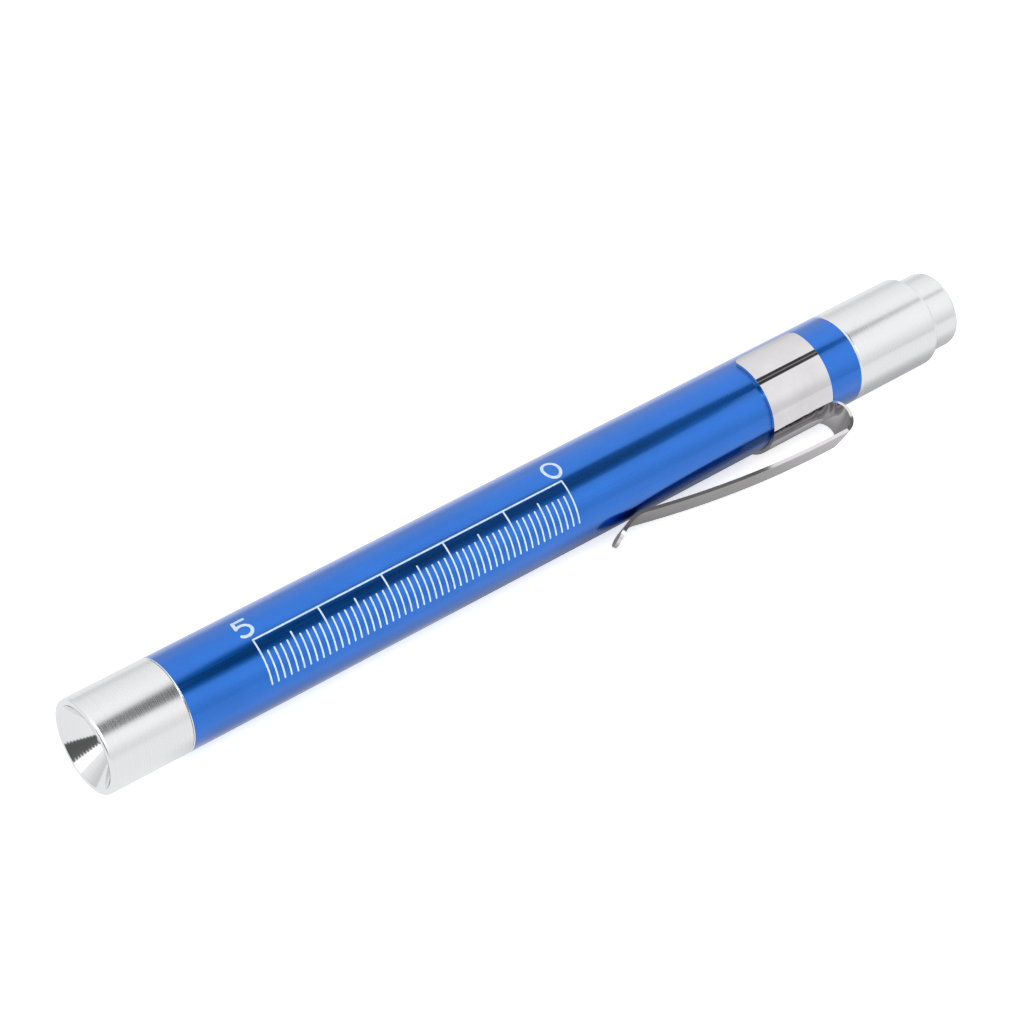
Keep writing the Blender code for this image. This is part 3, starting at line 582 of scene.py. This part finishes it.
def rows(radius, start, end):
    """Closely spaced outline points for a threaded stretch."""
    count = round(abs(end - start) / THREAD_ROW)
    return [(radius, start + (end - start) * i / count) for i in range(1, count)]


def helix_height(angle, station, start, turns, height, half_width):
    """Height of a right-hand triangular ridge that starts at a station and fades in and out at its ends."""
    turn = (angle / TAU) % 1
    crest = round((station - start) / PITCH - turn) + turn
    crest = min(max(crest, turn), turns - 1 + turn)
    fade = min(1, crest * FADES_PER_TURN, (turns - crest) * FADES_PER_TURN)
    return height * max(0, fade) * max(0, 1 - abs(station - start - crest * PITCH) / half_width)


def spigot_relief(start):
    """Relief of the thread on a spigot."""

    def relief(radius, angle, station):
        if abs(radius - SPIGOT_R) > EDGE_BREAK / 2:
            return 0
        return helix_height(angle, station, start, RIDGE_TURNS, RIDGE_HEIGHT, RIDGE_HALF_WIDTH)

    return relief


def barrel_relief(radius, angle, station):
    """Grooves in the barrel's bore for the two threads, cut through its edge break as well."""
    if radius > BORE_R + 1.5 * EDGE_BREAK:
        return 0
    if station < (BARREL_START + BARREL_END) / 2:
        start = HEAD_RIDGE_START - GROOVE_OUTER_TURNS * PITCH
    else:
        start = CAP_RIDGE_START - PITCH
    depth = helix_height(angle, station, start, GROOVE_TURNS, GROOVE_DEPTH, RIDGE_HALF_WIDTH + SEAT_GAP)
    return max(0, depth - (radius - BORE_R))


def make_barrel():
    """Anodised tube with bright cut ends and a threaded bore at each end."""
    thread_length = (GROOVE_TURNS - GROOVE_OUTER_TURNS + 1) * PITCH + LEAD_IN
    front, rear = BARREL_START, BARREL_END
    outer = rounded([
        (CASE_R - TIGHT_CHAMFER, rear, 0),
        (CASE_R, rear - TIGHT_CHAMFER, EDGE_BREAK / 2),
        (CASE_R, front + TIGHT_CHAMFER, EDGE_BREAK / 2),
        (CASE_R - TIGHT_CHAMFER, front, 0),
    ])
    outline = outer + [(BORE_R + EDGE_BREAK, front), (BORE_R, front + EDGE_BREAK)]
    outline += rows(BORE_R, front + EDGE_BREAK, front + thread_length)
    outline += rows(BORE_R, rear - thread_length, rear - EDGE_BREAK)
    outline += [(BORE_R, rear - EDGE_BREAK), (BORE_R + EDGE_BREAK, rear)]
    shape = turned_shape(outline, relief=barrel_relief)
    for face in shape.faces:
        middle = face.calc_center_median()
        bare = min(middle.z - front, rear - middle.z) < TIGHT_CHAMFER
        face.material_index = 1 if bare or math.hypot(middle.x, middle.y) < CASE_R - END_CHAMFER else 0
    finish_piece(shape, "barrel_skin", ["blue", "cut"], "barrel", ["barrel_tube"])


def ring_relief(step):
    """Depth of the turned rings at a step, from none on their crests."""
    return RING_RELIEF * math.sin(math.pi * step / RING_POINTS) ** 2


def make_head():
    """Turned head with the ringed reflector cone, the lamp's seat and the threaded spigot."""
    spigot_bore_r = SPIGOT_R - SPIGOT_WALL
    hole_r = LED_R + LED_HOLE_CLEARANCE
    seat = LED_BASE - LED_FLANGE - SEAT_GAP
    shoulder = BARREL_START - SEAT_GAP
    rim_r = CASE_R - RIM_WIDTH
    outline = [(SPIGOT_R, HEAD_SPIGOT_END - EDGE_BREAK)]
    outline += rows(SPIGOT_R, HEAD_SPIGOT_END - EDGE_BREAK, shoulder)
    outline += rounded([
        (SPIGOT_R, shoulder, 0),
        (CASE_R - TIGHT_CHAMFER, shoulder, 0),
        (CASE_R, shoulder - TIGHT_CHAMFER, EDGE_BREAK / 2),
        (CASE_R, 0, RIM_ROUND),
        (rim_r, 0, RIM_INNER_ROUND),
        (hole_r, REFLECTOR_DEPTH, 0),
    ])[:-1]
    for i in range(1, RING_POINTS * REFLECTOR_RINGS):
        share = i / (RING_POINTS * REFLECTOR_RINGS)
        outline.append((rim_r + (hole_r - rim_r) * share + ring_relief(i), REFLECTOR_DEPTH * share))
    outline += [(hole_r, REFLECTOR_DEPTH), (hole_r, seat), (spigot_bore_r, seat)]
    outline += [(spigot_bore_r, HEAD_SPIGOT_END), (SPIGOT_R - EDGE_BREAK, HEAD_SPIGOT_END)]
    shape = turned_shape(outline, relief=spigot_relief(HEAD_RIDGE_START))
    for face in shape.faces:
        middle = face.calc_center_median()
        inside = math.hypot(middle.x, middle.y) < rim_r and middle.z < REFLECTOR_DEPTH
        face.material_index = 1 if inside else 0
    finish_piece(shape, "head_skin", ["turned", "reflector"], "head", ["head_shell"])


def make_led():
    """LED with its dome and flange."""
    flange_front = LED_BASE - LED_FLANGE
    outline = [(0, LED_BASE), (LED_FLANGE_R, LED_BASE), (LED_FLANGE_R, flange_front), (LED_R, flange_front)]
    for i in reversed(range(DOME_STEPS + 1)):
        angle = TAU / 4 * i / DOME_STEPS
        outline.append((LED_R * math.sin(angle), LED_FRONT + LED_R * (1 - math.cos(angle))))
    shape = turned_shape(outline, FINE_STEPS)
    finish_piece(shape, "led_body", ["epoxy"], "lamp", ["led_lens"])


def make_tail_cap():
    """Turned tail cap with its threaded spigot and the button's bore."""
    web_front = BUTTON_START - WEB_TO_BUTTON
    web_rear = web_front + CAP_WEB
    shoulder = BARREL_END + SEAT_GAP
    bore_r = CASE_R - CAP_WALL
    spigot_bore_r = SPIGOT_R - SPIGOT_WALL
    outline = rounded([
        (bore_r, CAP_END, EDGE_BREAK),
        (CASE_R, CAP_END, CAP_ROUND * FILLET_REACH),
        (CASE_R, shoulder + END_CHAMFER, EDGE_BREAK),
        (CASE_R - END_CHAMFER, shoulder, 0),
        (SPIGOT_R, shoulder, 0),
    ])
    outline += rows(SPIGOT_R, shoulder, CAP_SPIGOT_START + EDGE_BREAK)
    outline += [(SPIGOT_R, CAP_SPIGOT_START + EDGE_BREAK), (SPIGOT_R - EDGE_BREAK, CAP_SPIGOT_START)]
    outline += [(spigot_bore_r, CAP_SPIGOT_START), (spigot_bore_r, web_front), (STEM_HOLE_R, web_front)]
    outline += [(STEM_HOLE_R, web_rear), (bore_r, web_rear)]
    shape = turned_shape(outline, relief=spigot_relief(CAP_RIDGE_START))
    finish_piece(shape, "tail_cap_skin", ["turned"], "cap", ["tail_cap"])


def make_button():
    """Turned push button with fine rings on its end face, hollow for its spring and drilled for its stem."""
    pocket_end = BUTTON_START + BUTTON_POCKET_DEPTH
    socket_end = pocket_end + STEM_SOCKET_DEPTH
    face_r = BUTTON_R - BUTTON_ROUND
    outline = [(0, BUTTON_END)]
    for i in range(1, RING_POINTS * BUTTON_RINGS):
        outline.append((face_r * i / (RING_POINTS * BUTTON_RINGS), BUTTON_END - ring_relief(i)))
    outline += rounded([
        (face_r, BUTTON_END, 0),
        (BUTTON_R, BUTTON_END, BUTTON_ROUND * FILLET_REACH),
        (BUTTON_R, BUTTON_START, EDGE_BREAK),
        (BUTTON_POCKET_R, BUTTON_START, EDGE_BREAK),
        (BUTTON_POCKET_R, pocket_end, 0),
    ])[1:]
    outline += [(STEM_SOCKET_R, pocket_end), (STEM_SOCKET_R, socket_end), (0, socket_end)]
    finish_piece(turned_shape(outline), "button_skin", ["turned"], "button", ["button"])


def add_ribbon(shape, centres, widths, closed=False):
    """Adds raised ink along (station, arc length) points on the barrel, with a half width at each."""
    sections = []
    count = len(centres)
    for i, (centre, half) in enumerate(zip(centres, widths)):
        before = centres[i - 1] if i or closed else centre
        after = centres[(i + 1) % count] if i < count - 1 or closed else centre
        along = (after - before).normalized()
        side = Vector((-along.y, along.x)) * half
        corners = []
        for point, radius in (
            (centre - side, CASE_R - INK_HEIGHT),
            (centre + side, CASE_R - INK_HEIGHT),
            (centre + side, CASE_R + INK_HEIGHT),
            (centre - side, CASE_R + INK_HEIGHT),
        ):
            corners.append(shape.verts.new(around(radius, point.y / CASE_R - TURN_OF_ARM, point.x)))
        sections.append(corners)
    pairs = list(zip(sections, sections[1:]))
    if closed:
        pairs.append((sections[-1], sections[0]))
    for first, second in pairs:
        for k in range(4):
            shape.faces.new((first[k], first[(k + 1) % 4], second[(k + 1) % 4], second[k]))
    if not closed:
        shape.faces.new(sections[0])
        shape.faces.new(sections[-1])


def add_stroke(shape, points, width):
    """Adds an open line of ink with round ends."""
    half = width / 2
    start = (points[0] - points[1]).normalized()
    end = (points[-1] - points[-2]).normalized()
    centres = [points[0] + start * half * math.sin(angle) for angle in STROKE_END] + points
    centres += [points[-1] + end * half * math.sin(angle) for angle in reversed(STROKE_END)]
    narrow = [half * math.cos(angle) for angle in STROKE_END]
    add_ribbon(shape, centres, narrow + [half] * len(points) + narrow[::-1])


def straight(start, end, steps=LINE_STEPS):
    """Points on a straight line."""
    return [start.lerp(end, i / steps) for i in range(steps + 1)]


def tick_top(millimetre):
    """Angle where a tick starts: at the long line each centimetre, a little short of it halfway between."""
    if millimetre % 10 == 0:
        return TOP_LINE
    return TICK_TOP if millimetre % 5 else FIVE_TICK_TOP


def make_scale():
    """Printed 0 to 5 cm scale: a long line, and a tick each millimetre."""
    shape = bmesh.new()
    for i in range(SCALE_LENGTH_MM + 1):
        station = SCALE_START + i * MM
        tick = straight(Vector((station, tick_top(i) * CASE_R)), Vector((station, TICK_END * CASE_R)))
        add_stroke(shape, tick, INK_WIDTH)
    ends = [Vector((SCALE_START + length * MM, TOP_LINE * CASE_R)) for length in (0, SCALE_LENGTH_MM)]
    add_stroke(shape, straight(*ends), INK_WIDTH)
    finish_piece(shape, "printed_scale", ["ink"], "barrel")


def digit_point(station, x, y):
    """Point of a digit, whose x runs along the pen towards its tail and y up, each from -1 to 1."""
    return Vector((station + x * DIGIT_WIDTH / 2, DIGIT_MIDDLE * CASE_R - y * DIGIT_HEIGHT / 2))


def make_digits():
    """The scale's end numbers, 5 and 0."""
    shape = bmesh.new()
    far = SCALE_START + SCALE_LENGTH_MM * MM
    angles = [TAU * i / CURVE_STEPS for i in range(CURVE_STEPS)]
    ring = [digit_point(far, math.cos(angle), math.sin(angle)) for angle in angles]
    add_ribbon(shape, ring, [DIGIT_STROKE / 2] * CURVE_STEPS, closed=True)
    near = SCALE_START
    five = [digit_point(near, 0.85, 1.0), digit_point(near, -0.55, 1.0), digit_point(near, -0.75, 0.12)]
    bowl = []
    for i in range(BOWL_STEPS + 1):
        angle = math.radians(140 - 275 * i / BOWL_STEPS)
        bowl.append(digit_point(near, -0.08 + 0.95 * math.cos(angle), -0.34 + 0.66 * math.sin(angle)))
    add_stroke(shape, straight(five[0], five[1], 6), DIGIT_STROKE)
    add_stroke(shape, straight(five[1], five[2], 6), DIGIT_STROKE)
    add_stroke(shape, [five[2], *bowl], DIGIT_STROKE)
    finish_piece(shape, "scale_numbers", ["ink"], "barrel")


def make_coil(name, node, front_r, rear_r, turns, wire_r):
    """Compression spring with closed end turns, in a node's place."""
    front, rear = span(node)
    low, high = front + wire_r, rear - wire_r
    closed = END_TURN_SPACING * wire_r
    shape = bmesh.new()
    sections = []
    total = turns * COIL_STEPS
    for i in range(total + 1):
        turn = i / COIL_STEPS
        share = (turn - 1) / (turns - 2)
        middle = low + closed + (high - low - 2 * closed) * share
        station = min(max(middle, low + closed * turn), high - closed * (turns - turn))
        radius = front_r + (rear_r - front_r) * i / total
        angle = TAU * turn
        section = []
        for k in range(WIRE_SIDES):
            side = TAU * k / WIRE_SIDES
            point = around(radius + wire_r * math.cos(side), angle, station + wire_r * math.sin(side))
            section.append(shape.verts.new(point))
        sections.append(section)
    for first, second in zip(sections, sections[1:]):
        for k in range(WIRE_SIDES):
            after = (k + 1) % WIRE_SIDES
            shape.faces.new((first[k], first[after], second[after], second[k]))
    shape.faces.new(sections[0])
    shape.faces.new(sections[-1])
    piece = finish_piece(shape, name, ["steel"], None, [node])
    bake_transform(piece)


def make_springs():
    """Battery spring and the button's return spring."""
    make_coil("battery_coil", "battery_spring", 2.6 * MM, 3.5 * MM, turns=6, wire_r=0.3 * MM)
    make_coil("return_coil", "return_spring", 3.3 * MM, 3.3 * MM, turns=5, wire_r=0.25 * MM)


def fill_grid(shape, grid):
    """Faces between neighbouring rows of vertices."""
    for row, following in zip(grid, grid[1:]):
        for i in range(len(row) - 1):
            shape.faces.new((row[i], row[i + 1], following[i + 1], following[i]))


def band_rows():
    """Rows across the band, from one free end to the other, each from the head side to the tail side."""
    column = 2 * math.asin(TAB_HALF_WIDTH / BAND_MID_R) / TAB_COLUMNS
    corner_start = BAND_HALF_WRAP - BAND_CORNER / BAND_MID_R
    half = [column * i for i in range(int(corner_start / column) + 1)]
    for i in range(CORNER_STEPS + 1):
        half.append(corner_start + (BAND_HALF_WRAP - corner_start) * math.sin(TAU / 4 * i / CORNER_STEPS))
    found = []
    for angle in [-a for a in reversed(half[1:])] + half:
        past = max(0, abs(angle) - corner_start) * BAND_MID_R
        inset = BAND_CORNER - math.sqrt(max(0, BAND_CORNER**2 - past**2))
        low, high = BAND_START + inset, BAND_END - inset
        stations = [low + (high - low) * i / BAND_COLUMNS for i in range(BAND_COLUMNS + 1)]
        found.append([around(BAND_MID_R, angle, station) for station in stations])
    return found


def bend_rows():
    """Rows of the U-bend, which starts with the band's curvature and flattens as it turns back."""
    tab_half_angle = math.asin(TAB_HALF_WIDTH / BAND_MID_R)
    found = []
    for i in range(1, BEND_STEPS + 1):
        share = i / BEND_STEPS
        turn = math.pi * share
        narrowing = 1 + (ARM_ROOT_HALF_WIDTH / TAB_HALF_WIDTH - 1) * share
        row = []
        for j in range(TAB_COLUMNS + 1):
            edge = around(BAND_MID_R, tab_half_angle * (2 * j / TAB_COLUMNS - 1), 0)
            hollow = (BAND_MID_R - edge.x) * (1 - share)
            out = BEND_CENTRE_R - BEND_R * math.cos(turn) - hollow
            row.append(Vector((out, edge.y * narrowing, BAND_END + BEND_R * math.sin(turn))))
        found.append(row)
    return found


def arm_path():
    """Middle line of the arm as (distance from the root, height below the root), rolled lip included."""
    drop = ARM_MID_R - BAND_MID_R - SEAT_GAP
    heel = Vector((ARM_LENGTH, drop))
    incoming = Vector((1, 2 * drop / ARM_LENGTH)).normalized()
    tip = heel + Vector((LIP_LENGTH, -LIP_RISE)) * LIP_REACH
    hollow = heel + Vector((LIP_LENGTH * LIP_HOLLOW, -LIP_RISE * LIP_HOLLOW / 2)) * LIP_REACH
    outgoing = (hollow - heel).normalized()
    knee_reach = TOE_ROUND * math.tan(incoming.angle(outgoing) / 2) + KNEE_EXTRA
    shares = [i / ARM_STEPS for i in range(1, ARM_STEPS)]
    bow = [Vector((ARM_LENGTH * share, drop * share**2)) for share in shares]
    bow = [point for point in bow if (heel - point).length > knee_reach * 1.2]
    knee_start, knee_end = heel - incoming * knee_reach, heel + outgoing * knee_reach
    knee = [curve_point(knee_start, heel, knee_end, i / FILLET_STEPS) for i in range(FILLET_STEPS + 1)]
    lip_shares = [math.sin(TAU / 4 * i / LIP_STEPS) * TIP_SHARE for i in range(1, LIP_STEPS + 1)]
    return bow + knee + [curve_point(knee_end, hollow, tip, share) for share in lip_shares]


def curve_point(start, middle, end, share):
    """Point on the smooth curve that leaves start and reaches end by way of middle."""
    return start * (1 - share) ** 2 + middle * (2 * share * (1 - share)) + end * share**2


def arm_rows():
    """Rows across the arm, from its root to the tip of its lip."""
    path = arm_path()
    lengths = [path[0].length]
    for before, after in zip(path, path[1:]):
        lengths.append(lengths[-1] + (after - before).length)
    round_start = lengths[-1] - ARM_TOE_HALF_WIDTH * TIP_SHARE
    found = []
    for point, length in zip(path, lengths):
        half = ARM_ROOT_HALF_WIDTH + (ARM_TOE_HALF_WIDTH - ARM_ROOT_HALF_WIDTH) * length / lengths[-1]
        past = max(0, length - round_start) / ARM_TOE_HALF_WIDTH
        half *= math.sqrt(1 - past**2)
        sides = [half * (2 * j / TAB_COLUMNS - 1) for j in range(TAB_COLUMNS + 1)]
        found.append([Vector((ARM_MID_R - point.y, side, BAND_END - point.x)) for side in sides])
    return found


def make_clip():
    """Pocket clip: one bent sheet, with a U-bend between its band and its arm."""
    shape = bmesh.new()
    grid = [[shape.verts.new(point) for point in row] for row in band_rows()]
    fill_grid(shape, grid)
    spare = (len(grid) - TAB_COLUMNS - 1) // 2
    edge = [row[-1] for row in grid[spare : len(grid) - spare]]
    tongue = [[shape.verts.new(point) for point in row] for row in bend_rows() + arm_rows()]
    fill_grid(shape, [edge, *tongue])
    piece = finish_piece(shape, "clip_spring", ["chrome"], None, ["clip_band", "clip_arm"])
    thicken = piece.modifiers.new("Sheet", "SOLIDIFY")
    thicken.thickness = SHEET
    thicken.offset = 0
    thicken.use_even_offset = True
    edges = piece.modifiers.new("Edges", "BEVEL")
    edges.width = SHEET_EDGE_ROUND
    edges.segments = 3
    edges.limit_method = "ANGLE"
    edges.angle_limit = SHEET_EDGE_ANGLE
    edges.harden_normals = True
    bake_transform(piece)


def dress_cad_nodes():
    """Gives each working piece that is kept from the frame its own look."""
    chosen = {
        "led_anode_lead": "steel",
        "led_cathode_lead": "steel",
        "lamp_holder": "white",
        "lamp_contact": "brass",
        "ground_ring": "brass",
        "spring_plate": "brass",
        "switch_housing": "white",
        "contact_plunger": "brass",
        "ratchet_rotor": "black",
        "click_cam": "white",
        "button_stem": "steel",
        "stem_clip": "steel",
    }
    for cell in ("front_cell", "rear_cell"):
        chosen |= {cell + "_can": "can", cell + "_sleeve": "sleeve", cell + "_seal": "black"}
        chosen[cell + "_negative_cap"] = "can"
    for node, look in chosen.items():
        mesh = frame["nodes"][node].data
        mesh.materials.clear()
        mesh.materials.append(LOOKS[look])


# ---------------------------------------------------------------- studio


def make_floor():
    """White card that the pen lies on."""
    shape = bmesh.new()
    bmesh.ops.create_grid(shape, x_segments=2, y_segments=2, size=FLOOR_HALF)
    mesh = bpy.data.meshes.new("floor")
    shape.to_mesh(mesh)
    shape.free()
    mesh.materials.append(floor_look())
    floor = bpy.data.objects.new("floor", mesh)
    bpy.context.scene.collection.objects.link(floor)
    floor.visible_glossy = False


def make_card(name, points, paint):
    """Card seen only in reflections, from a grid of points and a (brightness, cover) for each."""
    shape = bmesh.new()
    fill_grid(shape, [[shape.verts.new(point) for point in row] for row in points])
    mesh = bpy.data.meshes.new(name)
    shape.to_mesh(mesh)
    shape.free()
    layer = mesh.color_attributes.new("paint", "FLOAT_COLOR", "POINT")
    flat = [shade for row in paint for shade in row]
    for corner, (brightness, cover) in zip(layer.data, flat):
        corner.color = (brightness, brightness, brightness, cover)
    mesh.materials.append(CARD_LOOK)
    card = bpy.data.objects.new(name, mesh)
    bpy.context.scene.collection.objects.link(card)
    card.visible_camera = False
    card.visible_diffuse = False
    card.visible_shadow = False


def ease(low, high, value):
    """Smooth step from 0 at low to 1 at high."""
    share = min(max((value - low) / (high - low), 0), 1)
    return share * share * (3 - 2 * share)


def drift(station):
    """How far along the pen a strip's point has to move for the camera to see it mirrored at a station."""
    eye = PEN.inverted() @ Vector(CAMERA_PLACE)
    return (station - eye.z) * STRIP_R / math.hypot(eye.x, eye.y)


def make_strip(name, sections, first, last):
    """Long black strip beside the pen, with a paler seam along its middle where it is crisp."""
    stations, *columns = zip(*sections)
    points, paint = [], []
    for station in range(STRIP_FRONT, STRIP_REAR + 1):
        left, right, soft, cover = (np.interp(station, stations, column) for column in columns)
        middle = (left + right) / 2
        place = station * MM + drift(station * MM)
        row, shades = [], []
        for k in range(STRIP_COLUMNS + 1):
            angle = first + (last - first) * k / STRIP_COLUMNS
            inside = ease(left - soft / 2, left + soft / 2, angle)
            inside *= 1 - ease(right - soft / 2, right + soft / 2, angle)
            seam = SEAM * (1 - ease(0.7, 1.7, abs(angle - middle))) if soft < 2 else 0
            row.append(PEN @ around(STRIP_R, math.radians(angle) - TURN_OF_ARM, place))
            shades.append((0, max(0, cover * inside - seam)))
        points.append(row)
        paint.append(shades)
    make_card(name, points, paint)


def table_brightness(station, y):
    """Brightness of the table below a station and at a distance in front of or behind the pen, both in mm, with
    the pen's contact shadow painted in.
    """
    aside = abs(y - 1)
    # painted shadow: the pen's contact shadow is painted into the table card, deepest below the clip arm
    painted_shadow_below_pen = (1 - ease(5, 14, aside)) * ease(8, 20, station) * (1 - ease(140, 160, station))
    painted_shadow_below_pen += 0.6 * (1 - ease(3, 7, aside)) * ease(50, 62, station) * (1 - ease(120, 130, station))
    painted_shadow_below_clip = ease(-13, -8, y) * (1 - ease(-2, 6, y))
    painted_shadow_below_clip *= ease(70, 84, station) * (1 - 0.6 * ease(104, 120, station))
    return TABLE * (1 - TABLE_PAINTED_SHADOW_BELOW_PEN * painted_shadow_below_pen) * (1 - TABLE_PAINTED_SHADOW_BELOW_CLIP * painted_shadow_below_clip)


def make_table_reflection():
    """What the pen's underside sees: the pale table, with painted shadow that darkens it below the pen and most
    below the clip.
    """
    points, paint = [], []
    for x in np.linspace(-TABLE_HALF_LENGTH, TABLE_HALF_LENGTH, 181):
        row, shades = [], []
        for y in np.linspace(-TABLE_HALF_WIDTH, TABLE_HALF_WIDTH, 121):
            row.append((x, y, -0.0002))
            shades.append((table_brightness((x - PEN.translation.x) / MM, y / MM), 1))
        points.append(row)
        paint.append(shades)
    make_card("table_reflection", points, paint)
    ends = (-FLOOR_HALF, FLOOR_HALF)
    wide = [[(x, y, -0.0004) for y in ends] for x in ends]
    make_card("far_table_reflection", wide, [[(TABLE, 1)] * 2] * 2)


def make_front_card(name, towards, width, height, brightness, cover):
    """Card in front of the pen, mirrored in the reflector, that fades out towards its edges."""
    towards = Vector(towards).normalized()
    across = towards.cross(Vector((0, 0, 1))).normalized()
    up = across.cross(towards)
    middle = PEN.translation + FRONT_CARD_R * towards
    points, paint = [], []
    for i in range(FRONT_CARD_STEPS + 1):
        row, shades = [], []
        for k in range(FRONT_CARD_STEPS + 1):
            u, v = 2 * i / FRONT_CARD_STEPS - 1, 2 * k / FRONT_CARD_STEPS - 1
            row.append(middle + across * width / 2 * u + up * height / 2 * v)
            shades.append((brightness, cover * (1 - ease(0.8, 1, abs(u))) * (1 - ease(0.8, 1, abs(v)))))
        points.append(row)
        paint.append(shades)
    make_card(name, points, paint)


def make_softbox(name, place, size, power):
    """Large square light aimed at the pen."""
    light = bpy.data.lights.new(name, "AREA")
    light.shape = "SQUARE"
    light.size = size
    light.energy = power
    box = bpy.data.objects.new(name, light)
    bpy.context.scene.collection.objects.link(box)
    box.location = place
    box.rotation_mode = "QUATERNION"
    box.rotation_quaternion = (-Vector(place)).to_track_quat("-Z", "Y")


def make_surroundings():
    """White room, a little dimmer behind the pen and towards the horizon."""
    world = bpy.data.worlds.new("studio")
    world.use_nodes = True
    nodes, links = world.node_tree.nodes, world.node_tree.links
    place = nodes.new("ShaderNodeTexCoord")
    parts = nodes.new("ShaderNodeSeparateXYZ")
    links.new(place.outputs["Generated"], parts.inputs["Vector"])
    shares = []
    for axis, start, end, low, high in (("Z", 0.10, 0.50, 0.78, 1.0), ("Y", 0.10, 0.90, 1.0, 0.87)):
        spread = nodes.new("ShaderNodeMapRange")
        spread.interpolation_type = "SMOOTHSTEP"
        spread.inputs["From Min"].default_value = start
        spread.inputs["From Max"].default_value = end
        spread.inputs["To Min"].default_value = low
        spread.inputs["To Max"].default_value = high
        links.new(parts.outputs[axis], spread.inputs["Value"])
        shares.append(spread.outputs["Result"])
    both = nodes.new("ShaderNodeMath")
    both.operation = "MULTIPLY"
    links.new(shares[0], both.inputs[0])
    links.new(shares[1], both.inputs[1])
    links.new(both.outputs["Value"], nodes["Background"].inputs["Strength"])
    nodes["Background"].inputs["Color"].default_value = (1, 1, 1, 1)
    bpy.context.scene.world = world


def make_studio():
    """Floor, lights, cards and surroundings."""
    make_floor()
    make_surroundings()
    make_softbox("key", (-0.3, -0.5, 0.9), 0.6, 3.0)
    make_strip("overhead_strip", OVERHEAD_STRIP, 35, 95)
    make_strip("front_strip", FRONT_STRIP, 128, 148)
    make_table_reflection()
    make_front_card("dark_front_card", (-0.92, -0.32, 0.13), 0.30, 0.19, 0.02, 0.90)
    make_front_card("bright_front_card", (-0.84, 0.16, 0.44), 0.12, 0.08, 1.5, 1.0)


def make_camera():
    """Camera above the pen's front, looking along it from the side that the clip is on."""
    camera = bpy.data.objects.new("camera", bpy.data.cameras.new("camera"))
    bpy.context.scene.collection.objects.link(camera)
    camera.location = CAMERA_PLACE
    camera.rotation_euler = [math.radians(angle) for angle in CAMERA_TURN]
    camera.data.lens = CAMERA_LENS
    camera.data.clip_start = 0.01
    camera.data.clip_end = 20
    bpy.context.scene.camera = camera


make_camera()
make_barrel()
make_head()
make_led()
make_tail_cap()
make_button()
make_scale()
make_digits()
make_springs()
make_clip()
dress_cad_nodes()
make_studio()
bpy.context.scene.view_settings.view_transform = "Standard"
